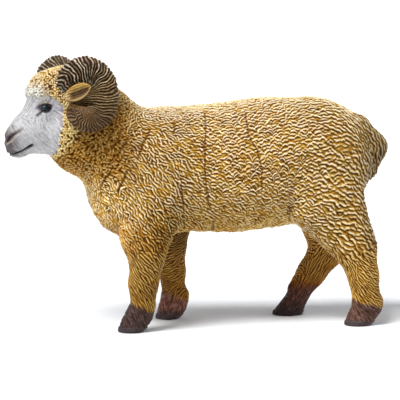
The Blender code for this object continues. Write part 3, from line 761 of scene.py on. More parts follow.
def shape_and_paint(p, n, strands):
    """Displacement along n (mm), paint (linear rgb) and gloss for every point."""
    m = len(p)
    z = zones(p)
    q = z["q"]
    face, hair, foot, slab = z["face"], z["hair"], z["foot"], z["slab"]
    ridge, inside, high, wave, wave2, power = strands.ridges(p)
    seam = 1 - smooth(0.02, 0.42, inside)
    lump = noise(p, 5.5, 1) * 0.6 + noise(p, 2.6, 2) * 0.4
    fine = noise(p, 0.42, 3)
    patchy = 0.7 * noise(p, 1.1, 72) + 0.5 * noise(p, 0.6, 71)
    strong = 0.35 + 0.65 * smooth(-0.75, -0.15, patchy + 0.35 * noise(p, 2.8, 73) + 0.25 * high)
    fleece = (1 - face) * (1 - hair)
    curl = smooth(-18, -28, p[:, 0]) * smooth(40, 48, p[:, 2])
    curly = np.clip(z["on_head"] + curl, 0, 1) * (1 - hair)          # poll and neck keep single curls
    skew = wave - 0.60 * wave * wave2 * (1 - hair)                   # steeper below each line than above it
    crimp = np.clip(0.5 + 0.5 * skew, 0, 1) * (0.55 + 0.45 * power) + 0.10 * (ridge - 0.6)
    soft_seam = seam
    ridge_w = crimp * (1 - curly) + ridge * curly
    seam = seam * curly
    belly = (1 - smooth(29, 41, p[:, 2])) * smooth(-22, -15, p[:, 0]) * (1 - smooth(22, 29, p[:, 0]))
    wool_h = (0.54 + 0.03 * curly + 0.20 * belly) * (0.55 + 0.45 * strong) * (ridge_w - 0.5) + 0.26 * lump - 0.17 * seam + 0.03 * fine
    # the locks stand unevenly, most of all on the breast and along the belly
    breast = smooth(-13, -22, p[:, 0]) * (1 - smooth(50, 58, p[:, 2])) * smooth(20, 26, p[:, 2])
    wool_h = wool_h + (0.13 + 0.10 * np.clip(belly + breast, 0, 1)) * noise(p, 1.5, 86) + (0.06 + 0.22 * np.clip(belly + breast, 0, 1)) * noise(p, 3.0, 87)
    hair_h = 0.39 * (0.6 + 0.4 * strong) * (ridge_w - 0.5) + 0.08 * lump
    foot_h = 0.15 * (0.5 + 0.5 * strong) * (ridge - 0.5) + 0.06 * lump
    h = fleece * wool_h + hair * (1 - foot) * hair_h + hair * foot * (1 - slab) * foot_h + hair * slab * 0.02 * fine
    h += face * (0.085 * (ridge - 0.5) * (0.25 + 0.75 * strong) - 0.10)
    h -= hair * 0.12 * (1 - foot)
    part = parting_depth(p) * fleece
    h -= part
    # the thigh stands over the flank along a fold
    beyond = p[:, 0] - np.interp(p[:, 2], [24, 28, 32.4, 37.7, 42.9, 50], [30.0, 27.6, 25.3, 24.6, 25.6, 27.2]) + 0.35 * noise(p, 2.4, 82)
    thigh = smooth(24, 29, p[:, 2]) * (1 - smooth(38, 49, p[:, 2])) * smooth(6, 10, np.abs(p[:, 1])) * fleece
    crease = np.exp(-((beyond + 0.35) / 0.55) ** 2) * thigh
    h += thigh * 0.34 * smooth(-0.3, 0.8, beyond) * np.exp(-(np.clip(beyond, 0, None) / 4.5) ** 2) - 0.24 * crease
    for i, name in enumerate(LEG_NAMES):       # the cleft between the toes
        sx, sy = SOLE[name]
        s = (z["leg"] == i) & (p[:, 2] < 8)
        front = smooth(0.5, 2.5, sx - p[s, 0] + 0.35 * p[s, 2])
        h[s] -= 0.70 * np.exp(-((p[s, 1] - sy) / 0.40) ** 2) * front * (1 - smooth(3.0, 6.0, p[s, 2]))
    # face features, the same on both sides
    qa = q.copy()
    qa[:, 1] = np.abs(qa[:, 1])
    eye_d = np.zeros(m) + 9
    near = face > 0.01
    e = qa[near] - EYE
    ax = e[:, 0] * 0.985 + e[:, 2] * -0.17
    ay = e[:, 0] * 0.17 + e[:, 2] * 0.985
    up = np.where(ay > 0, 0.80, 1.12) * (1 - 0.10 * np.clip(-ax, 0, 2))
    eye_d[near] = (np.abs(ax / 1.34) ** 2.3 + np.abs(ay / up) ** 2.1) ** 0.46 + np.abs(e[:, 1]) ** 2 * 0.03
    eye = 1 - smooth(0.93, 1.05, eye_d)
    h = h * (1 - eye) + eye * 0.50 * np.sqrt(np.clip(1 - eye_d ** 2, 0, 1))
    h -= 0.22 * np.exp(-((eye_d - 1.22) / 0.24) ** 2) * face
    f, l, u = qa[:, 0], qa[:, 1], qa[:, 2]
    over = smooth(-0.4, 0.6, u - EYE[2] + 0.17 * (f - EYE[0]))
    h += (0.10 + 0.16 * over) * np.exp(-((eye_d - 1.62) / 0.26) ** 2) * face
    nd = line_dist(qa, NOSTRIL)
    nl = line_dist(qa, NOSTRIL_LOW)
    nh = line_dist(qa, NOSTRIL_HIGH)
    md = line_dist(qa, MOUTH)
    td = line_dist(qa, TEAR)
    h -= 0.66 * np.exp(-(nd / 0.55) ** 2) * face
    h += (0.24 * np.exp(-(nl / 0.38) ** 2) + 0.18 * np.exp(-(nh / 0.42) ** 2)) * face
    corner = np.exp(-(np.linalg.norm(qa - np.array([15.9, 3.9, -12.1]), axis=1) / 0.9) ** 2)
    lips = np.exp(-(md / (0.29 + 0.20 * corner)) ** 2)
    h -= 0.50 * lips * face
    h += 0.12 * np.exp(-((md - 0.75) / 0.35) ** 2) * face
    h -= 0.22 * np.exp(-(td / 0.32) ** 2) * face
    # wool stands over the bare face at its edge
    h += 0.32 * smooth(0.0, 1.2, z["wool"]) * (1 - smooth(1.2, 5.0, z["wool"])) * z["on_head"] * fleece
    h *= smooth(0.0, 0.5, p[:, 2])             # the soles stay flat

    # ---- paint: ochre under-coat, dark wash in the grooves, cream brushed over the crests
    # the wash in the grooves is the figure's own paint; its pull toward the lower side of each crimp line is painted
    # shade, where shadow falls under light from above
    shade_below_crest = np.clip(-wave2, 0, 1)
    wash = (1 - smooth(0.12, 0.58, ridge)) * curly + (1 - curly) * (1 - smooth(0.06, 0.42, crimp - 0.25 * belly + 0.24 * (0.42 - shade_below_crest) + 0.10 * noise(p, 0.8, 79)))
    # painted highlight: crests on upward-facing surfaces get lighter paint, as if lit from above
    painted_top_highlight = smooth(0.2, 0.9, n[:, 2])
    jowl = z["on_head"] * smooth(3.0, -1.0, q[:, 2])
    crest = ridge_w * (0.62 + 0.38 * strong) + 0.14 * noise(p, 0.8, 74) + 0.05 * lump + 0.08 * high - 0.20 * seam + 0.06 * painted_top_highlight + 0.12 * jowl
    brush = smooth(0.50, 0.76, crest - 0.09 * belly) * (1 - curly) + smooth(0.66, 0.90, crest) * curly
    crest = np.clip(crest + 0.16 * (1 - curly), 0, 1)
    up_light = smooth(0.1, 0.9, n[:, 2])
    tone = 0.5 + 0.5 * np.clip(noise(p, 2.2, 75) + 0.4 * noise(p, 0.9, 76), -1, 1)
    ochre = ramp(tone, [(0.0, "#9c6a0c"), (0.5, "#bd8a22"), (1.0, "#d4a843")])
    cream = ramp(np.clip(crest + 0.08 * fine, 0, 1), [(0.55, "#d9b262"), (0.80, "#f3da9c"), (1.0, "#fff0cd")])
    pink = ramp(np.clip(crest + 0.08 * fine, 0, 1), [(0.55, "#d3ac78"), (0.80, "#efd4b0"), (1.0, "#ffecd8")])
    cream = mix(cream, pink, smooth(-0.1, 0.6, noise(p, 2.6, 78) + 0.5 * high) * 0.60 * smooth(-30, -18, p[:, 0]) * smooth(24, 34, p[:, 2]))
    dark = ramp(tone, [(0.0, "#3e2000"), (1.0, "#6c3f00")])
    side = smooth(-24, -10, p[:, 0]) * (1 - smooth(30, 44, p[:, 0])) * smooth(28, 36, p[:, 2])
    dark = mix(dark, flat_colour("#7a3a16", m), smooth(0.05, 0.60, noise(p, 1.7, 84) + 0.3 * noise(p, 0.7, 85)) * 0.65 * side)
    rump = smooth(20, 34, p[:, 0])
    ochre = mix(ochre, flat_colour("#a27a2e", m), 0.62 * rump)
    wool_c = mix(ochre, cream, brush * (0.88 + 0.10 * up_light))
    wool_c = mix(wool_c, dark, wash * (0.60 + 0.40 * strong) * 0.92)
    wool_c = mix(wool_c, dark, seam * 0.62)
    hollow = smooth(0.05, 0.75, -noise(p, 1.5, 86)) * (1 - 0.6 * curly)
    wool_c = mix(wool_c, dark, hollow * (1 - brush) * 0.30)
    # the last factor is painted shade, slightly darker toward the rump
    wool_c = wool_c * np.array([1.0, 0.985, 0.93]) * (1 + 0.10 * noise(p, 0.45, 83) * (1 - curly))[:, None] * (1 - 0.05 * rump)[:, None]
    wool_c = mix(wool_c, wool_c * np.array([0.98, 0.94, 0.68]), belly * 0.9)
    nape = smooth(-17, -26, p[:, 0]) * smooth(41, 49, p[:, 2]) * (1 - smooth(64, 68, p[:, 2]))
    low = 1 - smooth(27, 38, p[:, 2])
    shank = np.where(p[:, 0] < 10, 1 - smooth(22, 36, p[:, 2]), 1 - smooth(17, 26, p[:, 2]))
    gold = np.clip(0.90 * nape + 0.10 * low + 0.75 * shank, 0, 1)
    wool_c = mix(wool_c, wool_c * srgb("#d6b870"), gold)
    # painted shade: darker toward the rump's rear edge, on the neck behind the head, and toward the front of the body
    wool_c = wool_c * (1 - 0.54 * smooth(42.5, 53.5, p[:, 0]))[:, None]
    wool_c = wool_c * (1 - 0.16 * smooth(-18, -25, p[:, 0]) * smooth(42, 48, p[:, 2]) * (1 - z["on_head"]))[:, None]
    wool_c = wool_c * (1 - 0.11 * smooth(2, -8, p[:, 0]))[:, None]
    wool_c = mix(wool_c, ramp(np.clip(ridge + 0.15 * fine + 0.1 * high, 0, 1), [(0.15, "#5e3f12"), (0.45, "#ad8736"), (0.75, "#e0bf6c"), (1.0, "#f4e2ae")]), jowl * 0.85)
    # painted light: lighter on the breast below the neck
    wool_c = np.clip(wool_c * (1 + 0.26 * smooth(-22, -26, p[:, 0]) * (1 - smooth(46, 54, p[:, 2])))[:, None], 0, 1)
    # painted shade: the poll is made a little darker
    poll = smooth(-39, -42, p[:, 0]) * smooth(65.5, 68, p[:, 2])
    wool_c = mix(wool_c, np.clip(wool_c * np.array([1.0, 1.0, 1.0]) + np.array([-0.015, -0.018, -0.02]), 0, 1), poll)
    tuft = np.exp(-(((q[:, 0] - TUFT[0]) / 2.3) ** 2 + ((q[:, 2] - TUFT[1]) / 2.7) ** 2)) * z["on_head"]
    wool_c = mix(wool_c, ramp(np.clip(ridge + 0.1 * fine, 0, 1), [(0.0, "#98927c"), (0.5, "#c9c6b6"), (1.0, "#efeee6")]), np.clip(tuft * 1.25, 0, 0.92))
    wool_c = mix(wool_c, flat_colour("#70460f", m), smooth(0.04, 0.20, part + 0.04 * noise(p, 0.7, 81)) * 0.80)
    # painted shade along the fold where the thigh stands over the flank
    wool_c = mix(wool_c, flat_colour("#6a420e", m), crease * 0.34)
    hair_crest = smooth(0.42, 0.84, crimp + 0.16 * noise(p, 0.8, 77) + 0.10 * high)
    hair_c = ramp(tone, [(0.0, "#875204"), (0.5, "#a26c0d"), (1.0, "#bb8823")])
    rear = (z["leg"] == 2) * 1.0
    hair_c = mix(hair_c, flat_colour("#f0c974", m), np.clip(hair_crest * (0.46 + 0.46 * smooth(8, 24, p[:, 2]) + 0.20 * rear), 0, 1))
    hair_c = mix(hair_c, flat_colour("#4a2500", m), (1 - smooth(0.10, 0.55, crimp + 0.10 * noise(p, 1.0, 80))) * 0.94)
    # painted light and shade: each leg's hair is scaled lighter or darker by its own factor, and the far legs get a
    # darker copy
    hair_c = hair_c * np.array([0.75, 1.03, 0.92, 1.12])[np.clip(z["leg"], 0, 3)][:, None]
    far = np.isin(z["leg"], (1, 3)).astype(float)
    hair_c = mix(hair_c, hair_c * srgb("#dcc3a0"), far * 0.60)
    red = smooth(12.5, 8.5, p[:, 2]) * (z["leg"] == 3)
    hair_c = mix(hair_c, hair_c * srgb("#d09c7c"), red * 0.7)
    foot_c = ramp(np.clip(ridge * (0.40 + 0.45 * strong) + 0.10 + 0.15 * fine, 0, 1), [(0.0, "#2c1b18"), (0.4, "#45302b"), (0.75, "#5b433d"), (1.0, "#7c645c")])
    slab_c = ramp(np.clip(0.5 + 0.5 * fine, 0, 1), [(0.0, "#3f3233"), (1.0, "#554748")])
    far_front_foot = (z["leg"] == 1) * 1.0              # each foot is scaled by its own factor: painted shade on the near front foot and low on the far hind one; both far feet get lighter, redder paint higher up, partly their own redder colour and partly painted light
    foot_c = foot_c * np.array([0.48, 1.00, 0.93, 0.40])[np.clip(z["leg"], 0, 3)][:, None]
    foot_c = mix(foot_c, np.clip(foot_c * srgb("#ffd9c4") * 2.3, 0, 1), (z["leg"] == 3) * smooth(1.5, 6.5, p[:, 2]))
    foot_c = mix(foot_c, np.clip(foot_c * srgb("#ffe0cd") * 2.2, 0, 1), far_front_foot * smooth(2.0, 3.6, p[:, 2]))
    foot_c = mix(foot_c, foot_c * srgb("#fff0e0"), (z["leg"] == 2) * 1.0)
    # painted shade and light on the sole bands too, each by its own factor
    slab_c = slab_c * np.array([0.72, 1.1, 0.9, 0.45])[np.clip(z["leg"], 0, 3)][:, None]
    fc = np.clip(0.56 + (ridge - 0.62) * (0.15 + 0.50 * strong) + 0.20 * fine + 0.07 * high, 0, 1)
    face_c = ramp(fc, [(0.0, "#a09ea2"), (0.30, "#bbb9bc"), (0.6, "#cecdcf"), (1.0, "#e8e8e9")])
    around = np.exp(-((eye_d - 1.0) / 2.4) ** 2) * smooth(0.8, -1.5, f - EYE[0] + 0.6)
    lilac = ramp(fc, [(0.0, "#77707c"), (0.35, "#9d97a2"), (0.7, "#c3bfc7"), (1.0, "#e0dde3")])
    face_c = mix(face_c, lilac, np.clip(around * 0.9, 0, 1))
    nose = smooth(18.3, 22.0, f + 0.22 * (-(u + 9.0)) + 0.5 * noise(p, 1.6, 21))
    nose = nose * (1 - 0.60 * smooth(0.2, -0.5, u - np.interp(f, [15.3, 21.4], [-11.8, -14.4])))
    plum = ramp(fc, [(0.0, "#2f292c"), (0.5, "#544b4d"), (1.0, "#7c7173")])
    face_c = mix(face_c, plum * 0.96, nose * 0.95)
    cheek = smooth(12.5, 17.5, f) * (1 - smooth(-9.5, -7.5, u)) * 0.16
    face_c = mix(face_c, plum, cheek * (1 - nose))
    face_c = mix(face_c, flat_colour("#c9b8a6", m), np.clip(0.70 * np.exp(-(nl / 0.32) ** 2) + 0.35 * np.exp(-(nh / 0.40) ** 2), 0, 1))
    face_c = mix(face_c, flat_colour("#3f2b27", m), np.clip(1.30 * np.exp(-(nd / 0.50) ** 2), 0, 1))
    face_c = mix(face_c, flat_colour("#141214", m), np.clip(1.3 * lips, 0, 1) * smooth(14.6, 15.4, f))
    lash = np.exp(-((eye_d - 1.25) / 0.55) ** 2) * over
    face_c = mix(face_c, ramp(fc, [(0.0, "#4b4148"), (1.0, "#9a8c8c")]), np.clip(0.95 * lash, 0, 1))
    brow = np.exp(-((eye_d - 2.05) / 0.85) ** 2) * over * smooth(-2.2, 0.0, f - EYE[0]) * (1 - smooth(0.8, 2.0, f - EYE[0]))
    face_c = mix(face_c, ramp(fc, [(0.0, "#665546"), (1.0, "#a99c88")]), np.clip(0.85 * brow, 0, 1))
    face_c = mix(face_c, flat_colour("#3c333c", m), np.clip(0.9 * np.exp(-((eye_d - 1.08) / 0.22) ** 2), 0, 1))
    front_lid = np.exp(-(((f - 13.5) / 0.70) ** 2 + ((u + 1.2) / 1.15) ** 2)) * face
    face_c = mix(face_c, flat_colour("#4d4550", m), np.clip(0.85 * front_lid, 0, 1))
    face_c = mix(face_c, flat_colour("#37333a", m), np.clip(1.0 * np.exp(-(td / 0.38) ** 2), 0, 1))
    rim = np.exp(-((z["wool"] + 0.55) / 0.5) ** 2)
    face_c = mix(face_c, ramp(fc, [(0.0, "#8f7f92"), (1.0, "#d6c8da")]), np.clip(0.65 * rim * smooth(9.0, 7.4, f), 0, 1))
    face_c = face_c * 0.95 * (1 - 0.08 * smooth(12.5, 17.0, f))[:, None]
    face_c = face_c * (1 - 0.22 * smooth(-0.8, 2.0, u + 0.62 * (f - 12.5) + 1.5))[:, None]      # painted shade: darker along the bridge
    paint = mix(wool_c, hair_c, hair)
    shade = (z["leg"] == 1) * smooth(16, 23, p[:, 2]) * (1 - smooth(34, 39, p[:, 2]))
    paint = paint * (1 - 0.45 * shade)[:, None]
    paint = mix(paint, foot_c, foot)
    paint = mix(paint, slab_c, slab * hair)
    paint = mix(paint, face_c, face)
    # painted reflection: a blue-grey spot on the black eye
    eye_reflection_spot = np.exp(-(((f - 12.5) / 0.55) ** 2 + ((u + 1.35) / 0.45) ** 2))
    paint = mix(paint, mix(flat_colour("#07070a", m), flat_colour("#31454a", m), eye_reflection_spot * 0.8), eye)
    gloss = 0.58 + 0.14 * (1 - brush) * 0 + 0.06 * fine - 0.06 * foot
    gloss = gloss * (1 - eye) + 0.24 * eye
    return h, np.clip(paint, 0, 1), gloss


# ----------------------------------------------------------------- mesh pieces
def paint_material(name, speckle=900.0, bump=0.00002, shine=0.12):
    m = bpy.data.materials.new(name)
    m.use_nodes = True
    nt = m.node_tree
    bs = nt.nodes["Principled BSDF"]
    at = nt.nodes.new("ShaderNodeAttribute")
    at.attribute_name = "paint"
    gl = nt.nodes.new("ShaderNodeAttribute")
    gl.attribute_name = "gloss"
    tc = nt.nodes.new("ShaderNodeTexCoord")
    no = nt.nodes.new("ShaderNodeTexNoise")
    no.inputs["Scale"].default_value = speckle
    no.inputs["Detail"].default_value = 3.0
    nt.links.new(tc.outputs["Object"], no.inputs["Vector"])
    rp = nt.nodes.new("ShaderNodeValToRGB")
    rp.color_ramp.elements[0].position = 0.30
    rp.color_ramp.elements[0].color = (0.80, 0.79, 0.77, 1)
    rp.color_ramp.elements[1].position = 0.70
    rp.color_ramp.elements[1].color = (1.0, 1.0, 1.0, 1)
    nt.links.new(no.outputs["Fac"], rp.inputs["Fac"])
    mx = nt.nodes.new("ShaderNodeMix")
    mx.data_type = "RGBA"
    mx.blend_type = "MULTIPLY"
    mx.inputs["Factor"].default_value = 1.0
    nt.links.new(at.outputs["Color"], mx.inputs["A"])
    nt.links.new(rp.outputs["Color"], mx.inputs["B"])
    nt.links.new(mx.outputs["Result"], bs.inputs["Base Color"])
    nt.links.new(gl.outputs["Fac"], bs.inputs["Roughness"])
    bu = nt.nodes.new("ShaderNodeBump")
    bu.inputs["Strength"].default_value = 0.5
    bu.inputs["Distance"].default_value = bump
    nt.links.new(no.outputs["Fac"], bu.inputs["Height"])
    nt.links.new(bu.outputs["Normal"], bs.inputs["Normal"])
    bs.inputs["Specular IOR Level"].default_value = shine
    return m


def boundary_loops(quads):
    e = np.concatenate([quads[:, [0, 1]], quads[:, [1, 2]], quads[:, [2, 3]], quads[:, [3, 0]]])
    e = e[e[:, 0] != e[:, 1]]
    key = np.minimum(e[:, 0], e[:, 1]) * (quads.max() + 1) + np.maximum(e[:, 0], e[:, 1])
    uniq, inv, cnt = np.unique(key, return_inverse=True, return_counts=True)
    open_ = e[cnt[inv] == 1]
    nxt = {}
    for a, b in open_.tolist():
        nxt.setdefault(a, []).append(b)
    loops = []
    while nxt:
        a = next(iter(nxt))
        loop = [a]
        while True:
            bs = nxt.get(loop[-1])
            if not bs:
                break
            b = bs.pop()
            if not bs:
                del nxt[loop[-1]]
            if b == loop[0]:
                break
            loop.append(b)
        loops.append(loop)
    return loops


def inner_hub(ring):
    """The point in the middle plane from which the closing faces of a large opening stay deepest inside the body."""
    y = np.median(ring[:, 1])
    ring = ring[::4]
    t = np.array([0.08, 0.16, 0.28, 0.42, 0.60, 0.80])[:, None, None]
    best, at = 1e9, None
    for x in range(-26, 28, 4):
        for z in (36, 40, 44, 48, 52, 56):
            c = np.array([x, y, z], float)
            worst = body_field((ring[None] * (1 - t) + c * t).reshape(-1, 3)).max()
            if worst < best:
                best, at = worst, c
    print("scene: hub", at, "deepest escape", round(float(best), 2), "from the centroid",
          round(float(body_field((ring[None] * (1 - t) + ring.mean(0) * t).reshape(-1, 3)).max()), 2))
    return at


def make_piece(name, pts, faces, paint, gloss, material, node, caps=True):
    """One object from mm points in the figure's frame."""
    used, inv = np.unique(faces, return_inverse=True)
    faces = inv.reshape(faces.shape)
    pts, paint, gloss = pts[used], paint[used], gloss[used]
    tris = []
    extra_p = []
    if caps:
        for loop in boundary_loops(faces):
            if len(loop) < 3:
                continue
            c = pts[loop].mean(0)
            if node and node.startswith("torso") and np.ptp(pts[loop][:, 0]) > 40:
                c = inner_hub(pts[loop])
            k = len(pts) + len(extra_p)
            extra_p.append(c)
            for a, b in zip(loop, loop[1:] + loop[:1]):
                tris.append((b, a, k))
    if extra_p:
        pts = np.concatenate([pts, np.array(extra_p)])
        paint = np.concatenate([paint, np.tile(paint.mean(0), (len(extra_p), 1))])
        gloss = np.concatenate([gloss, np.full(len(extra_p), gloss.mean())])
    me = bpy.data.meshes.new(name)
    co = (pts + SHIFT) * MM
    me.vertices.add(len(co))
    me.vertices.foreach_set("co", co.astype(np.float32).ravel())
    nq, ntri = len(faces), len(tris)
    tri = np.array(tris, np.int32).reshape(-1, 3)
    me.loops.add(nq * 4 + ntri * 3)
    me.loops.foreach_set("vertex_index", np.concatenate([faces.astype(np.int32).ravel(), tri.ravel()]))
    me.polygons.add(nq + ntri)
    me.polygons.foreach_set("loop_start", np.concatenate([np.arange(nq) * 4, nq * 4 + np.arange(ntri) * 3]).astype(np.int32))
    me.update(calc_edges=True)
    me.validate()
    flat = np.zeros(len(me.polygons), bool)
    flat[:nq] = True
    me.polygons.foreach_set("use_smooth", flat)
    a = me.attributes.new("paint", "FLOAT_COLOR", "POINT")
    a.data.foreach_set("color", np.concatenate([paint, np.ones((len(paint), 1))], 1).astype(np.float32).ravel())
    g = me.attributes.new("gloss", "FLOAT", "POINT")
    g.data.foreach_set("value", gloss.astype(np.float32))
    me.materials.append(material)
    ob = bpy.data.objects.new(name, me)
    bpy.context.scene.collection.objects.link(ob)
    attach(ob, "root")
    if node:
        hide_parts(node)
    return ob


FLEECE = paint_material("fleece_paint")
FACE = paint_material("face_paint", 1400.0, 0.000012, 0.22)
LEG = paint_material("leg_paint", 1100.0, 0.000015)
HORN = paint_material("horn_paint", 1500.0, 0.000015, 0.16)
EARM = paint_material("ear_paint", 1400.0, 0.000012)
TAILM = paint_material("tail_paint")

import time
T0 = time.time()


def note(word):
    print("scene:", word, round(time.time() - T0, 1), flush=True)


# Body and head surfaces
pts, quads = level_mesh(body_field, (-64, -21, -2.6), (56, 21, 78), BODY_CELL)
note("coarse body %d" % len(quads))
# faces wind outwards?
v = pts[quads[:, 0]]
vol = np.einsum("ij,ij->i", v, np.cross(pts[quads[:, 1]], pts[quads[:, 2]])).sum()
if vol < 0:
    quads = quads[:, ::-1]
cp, cn = settle(body_field, pts, 1)
strands = Strands(cp, cn)
note("strands %d" % len(strands.c))
side = (pts[quads].mean(1) - NECK_A) @ NECK_N
high = pts[quads].mean(1)[:, 2] > 44
body_q = quads[~((side > 1.4) & high)]
bp, bq = refine(pts, body_q, LEVELS)
bp, bn = settle(body_field, bp)
note("body %d" % len(bq))
h, paint, gloss = shape_and_paint(bp, bn, strands)
note("body relief")
bp2 = bp + bn * h[:, None]
bp2[:, 2] = np.maximum(bp2[:, 2], 0.0)
mid = bp[bq].mean(1)
OVER = 0.12
keep = ((mid - NECK_A) @ NECK_N < OVER) | (mid[:, 2] < 44)
is_tail = np.zeros(len(bq), bool)
aft = (mid[:, 0] > 40) & (mid[:, 2] > 40)
is_tail[aft] = group(mid[aft], TAIL, 0.5, TAIL_BOX) < group(mid[aft], TORSO, 1.2, TORSO_BOX)
low = mid[:, 2] < LEG_SEAM_Z
leg = leg_of(mid)
for name, sel in (("torso_left", ~low & ~is_tail & (mid[:, 1] < 0)), ("torso_right", ~low & ~is_tail & (mid[:, 1] >= 0))):
    make_piece("vis_" + name, bp2, bq[keep & sel], paint, gloss, FLEECE, name)
for i, name in enumerate(LEG_NAMES):
    make_piece("vis_leg_" + name, bp2, bq[keep & low & (leg == i)], paint, gloss, LEG, "leg_" + name)
make_piece("vis_tail", bp2, bq[is_tail], paint, gloss, TAILM, "tail")
note("body pieces")

hp, hq = level_mesh(body_field, (-62, -15, 45), (-24, 13, 79), HEAD_CELL)
if np.einsum("ij,ij->i", hp[hq[:, 0]], np.cross(hp[hq[:, 1]], hp[hq[:, 2]])).sum() < 0:
    hq = hq[:, ::-1]
hm = hp[hq].mean(1)
hq = hq[(hm - NECK_A) @ NECK_N > -1.5]
hp, hq = refine(hp, hq, LEVELS)
hp, hn = settle(body_field, hp)
note("head %d" % len(hq))
h, paint, gloss = shape_and_paint(hp, hn, strands)
hp2 = hp + hn * h[:, None]
hm = hp[hq].mean(1)
make_piece("vis_head", hp2, hq[(hm - NECK_A) @ NECK_N > -OVER], paint, gloss, FACE, "head")
note("head piece")

# ---------------------------------------------------------------------- horns
HORN_LINE = np.array([
    (4.9, 5.6, 4.4, 4.3), (3.9, 7.4, 7.6, 4.3), (0.6, 9.4, 9.2, 4.2), (-2.6, 11.2, 6.6, 4.25),
    (-3.3, 12.6, 1.8, 4.2), (-1.6, 13.6, -2.6, 4.1), (1.8, 14.2, -4.4, 3.8), (4.6, 13.1, -3.7, 3.1),
    (5.4, 10.6, -2.6, 2.2), (5.0, 8.8, -1.6, 1.6)])
HUB_TOP = np.array([2.2, 3.7])
HUB_LOW = np.array([3.2, -1.4])
FLAT = 0.80     # the horn is thinner across than it is tall
RIDGES = [  # in the side view: forward and up of the outer end, then of the inner end
    (8.8, 2.0, 7.6, 1.6), (9.2, 3.8, 7.5, 2.6), (9.3, 5.6, 7.2, 3.4), (9.1, 7.2, 6.8, 4.1), (8.9, 8.3, 6.2, 4.7),
    (8.2, 9.5, 5.1, 5.2), (6.5, 11.1, 3.8, 5.5), (5.0, 12.3, 2.7, 5.7), (3.5, 13.1, 1.9, 5.8), (1.6, 13.3, 1.4, 5.9),
    (-0.3, 13.2, 1.2, 5.6), (-2.2, 12.5, 1.0, 5.3), (-3.8, 11.3, 1.0, 5.0), (-5.1, 9.7, 1.0, 4.5), (-6.1, 8.0, 1.2, 3.9),
    (-6.7, 6.0, 1.7, 3.1), (-6.8, 4.1, 2.1, 2.3), (-7.0, 2.1, 2.9, 1.5), (-6.8, 0.1, 3.3, 0.7), (-6.2, -1.8, 3.5, -0.2),
    (-5.2, -3.8, 3.3, -1.0), (-3.6, -5.7, 3.1, -1.8), (-1.2, -7.4, 3.1, -2.6), (1.4, -8.2, 3.6, -3.0), (4.0, -7.8, 4.2, -3.0),
    (5.9, -6.1, 4.7, -2.7), (6.9, -4.2, 5.1, -2.0), (6.9, -1.9, 5.2, -0.9), (6.0, -0.3, 5.0, 0.0)]


def spline(tab, s):
    n = len(tab) - 1
    s = np.clip(s, 0, 1) * n
    k = np.minimum(s.astype(int), n - 1)
    t = (s - k)[:, None]
    p = [tab[np.clip(k + d, 0, n)] for d in (-1, 0, 1, 2)]
    return 0.5 * (2 * p[1] + (p[2] - p[0]) * t + (2 * p[0] - 5 * p[1] + 4 * p[2] - p[3]) * t ** 2 + (3 * p[1] - p[0] - 3 * p[2] + p[3]) * t ** 3)


HORN_S = np.linspace(0, 1, 150)
HORN_C = spline(HORN_LINE, HORN_S)


def horn_samples(q, step=40000):
    """Distance to the horn's coil, and which sample of its line is nearest."""
    best = np.empty(len(q))
    arg = np.empty(len(q), np.int64)
    c = HORN_C
    scale = np.array([1, 1 / FLAT, 1])
    cs = c[:, :3] * scale
    for i in range(0, len(q), step):
        p = q[i:i + step] * scale
        d = np.sqrt(np.maximum((p ** 2).sum(1)[:, None] + (cs ** 2).sum(1)[None, :] - 2 * p @ cs.T, 1e-9)) - c[None, :, 3]
        k = d.argmin(1)
        arg[i:i + step] = k
        best[i:i + step] = d[np.arange(len(k)), k]
    return best * 0.88, arg


def horn_field(q):
    d, _ = horn_samples(q)
    fill = dist(q, ball((1.4, 9.9, 1.0), (3.7, 2.5, 4.8)))
    return soft_min([d, fill], 0.30)


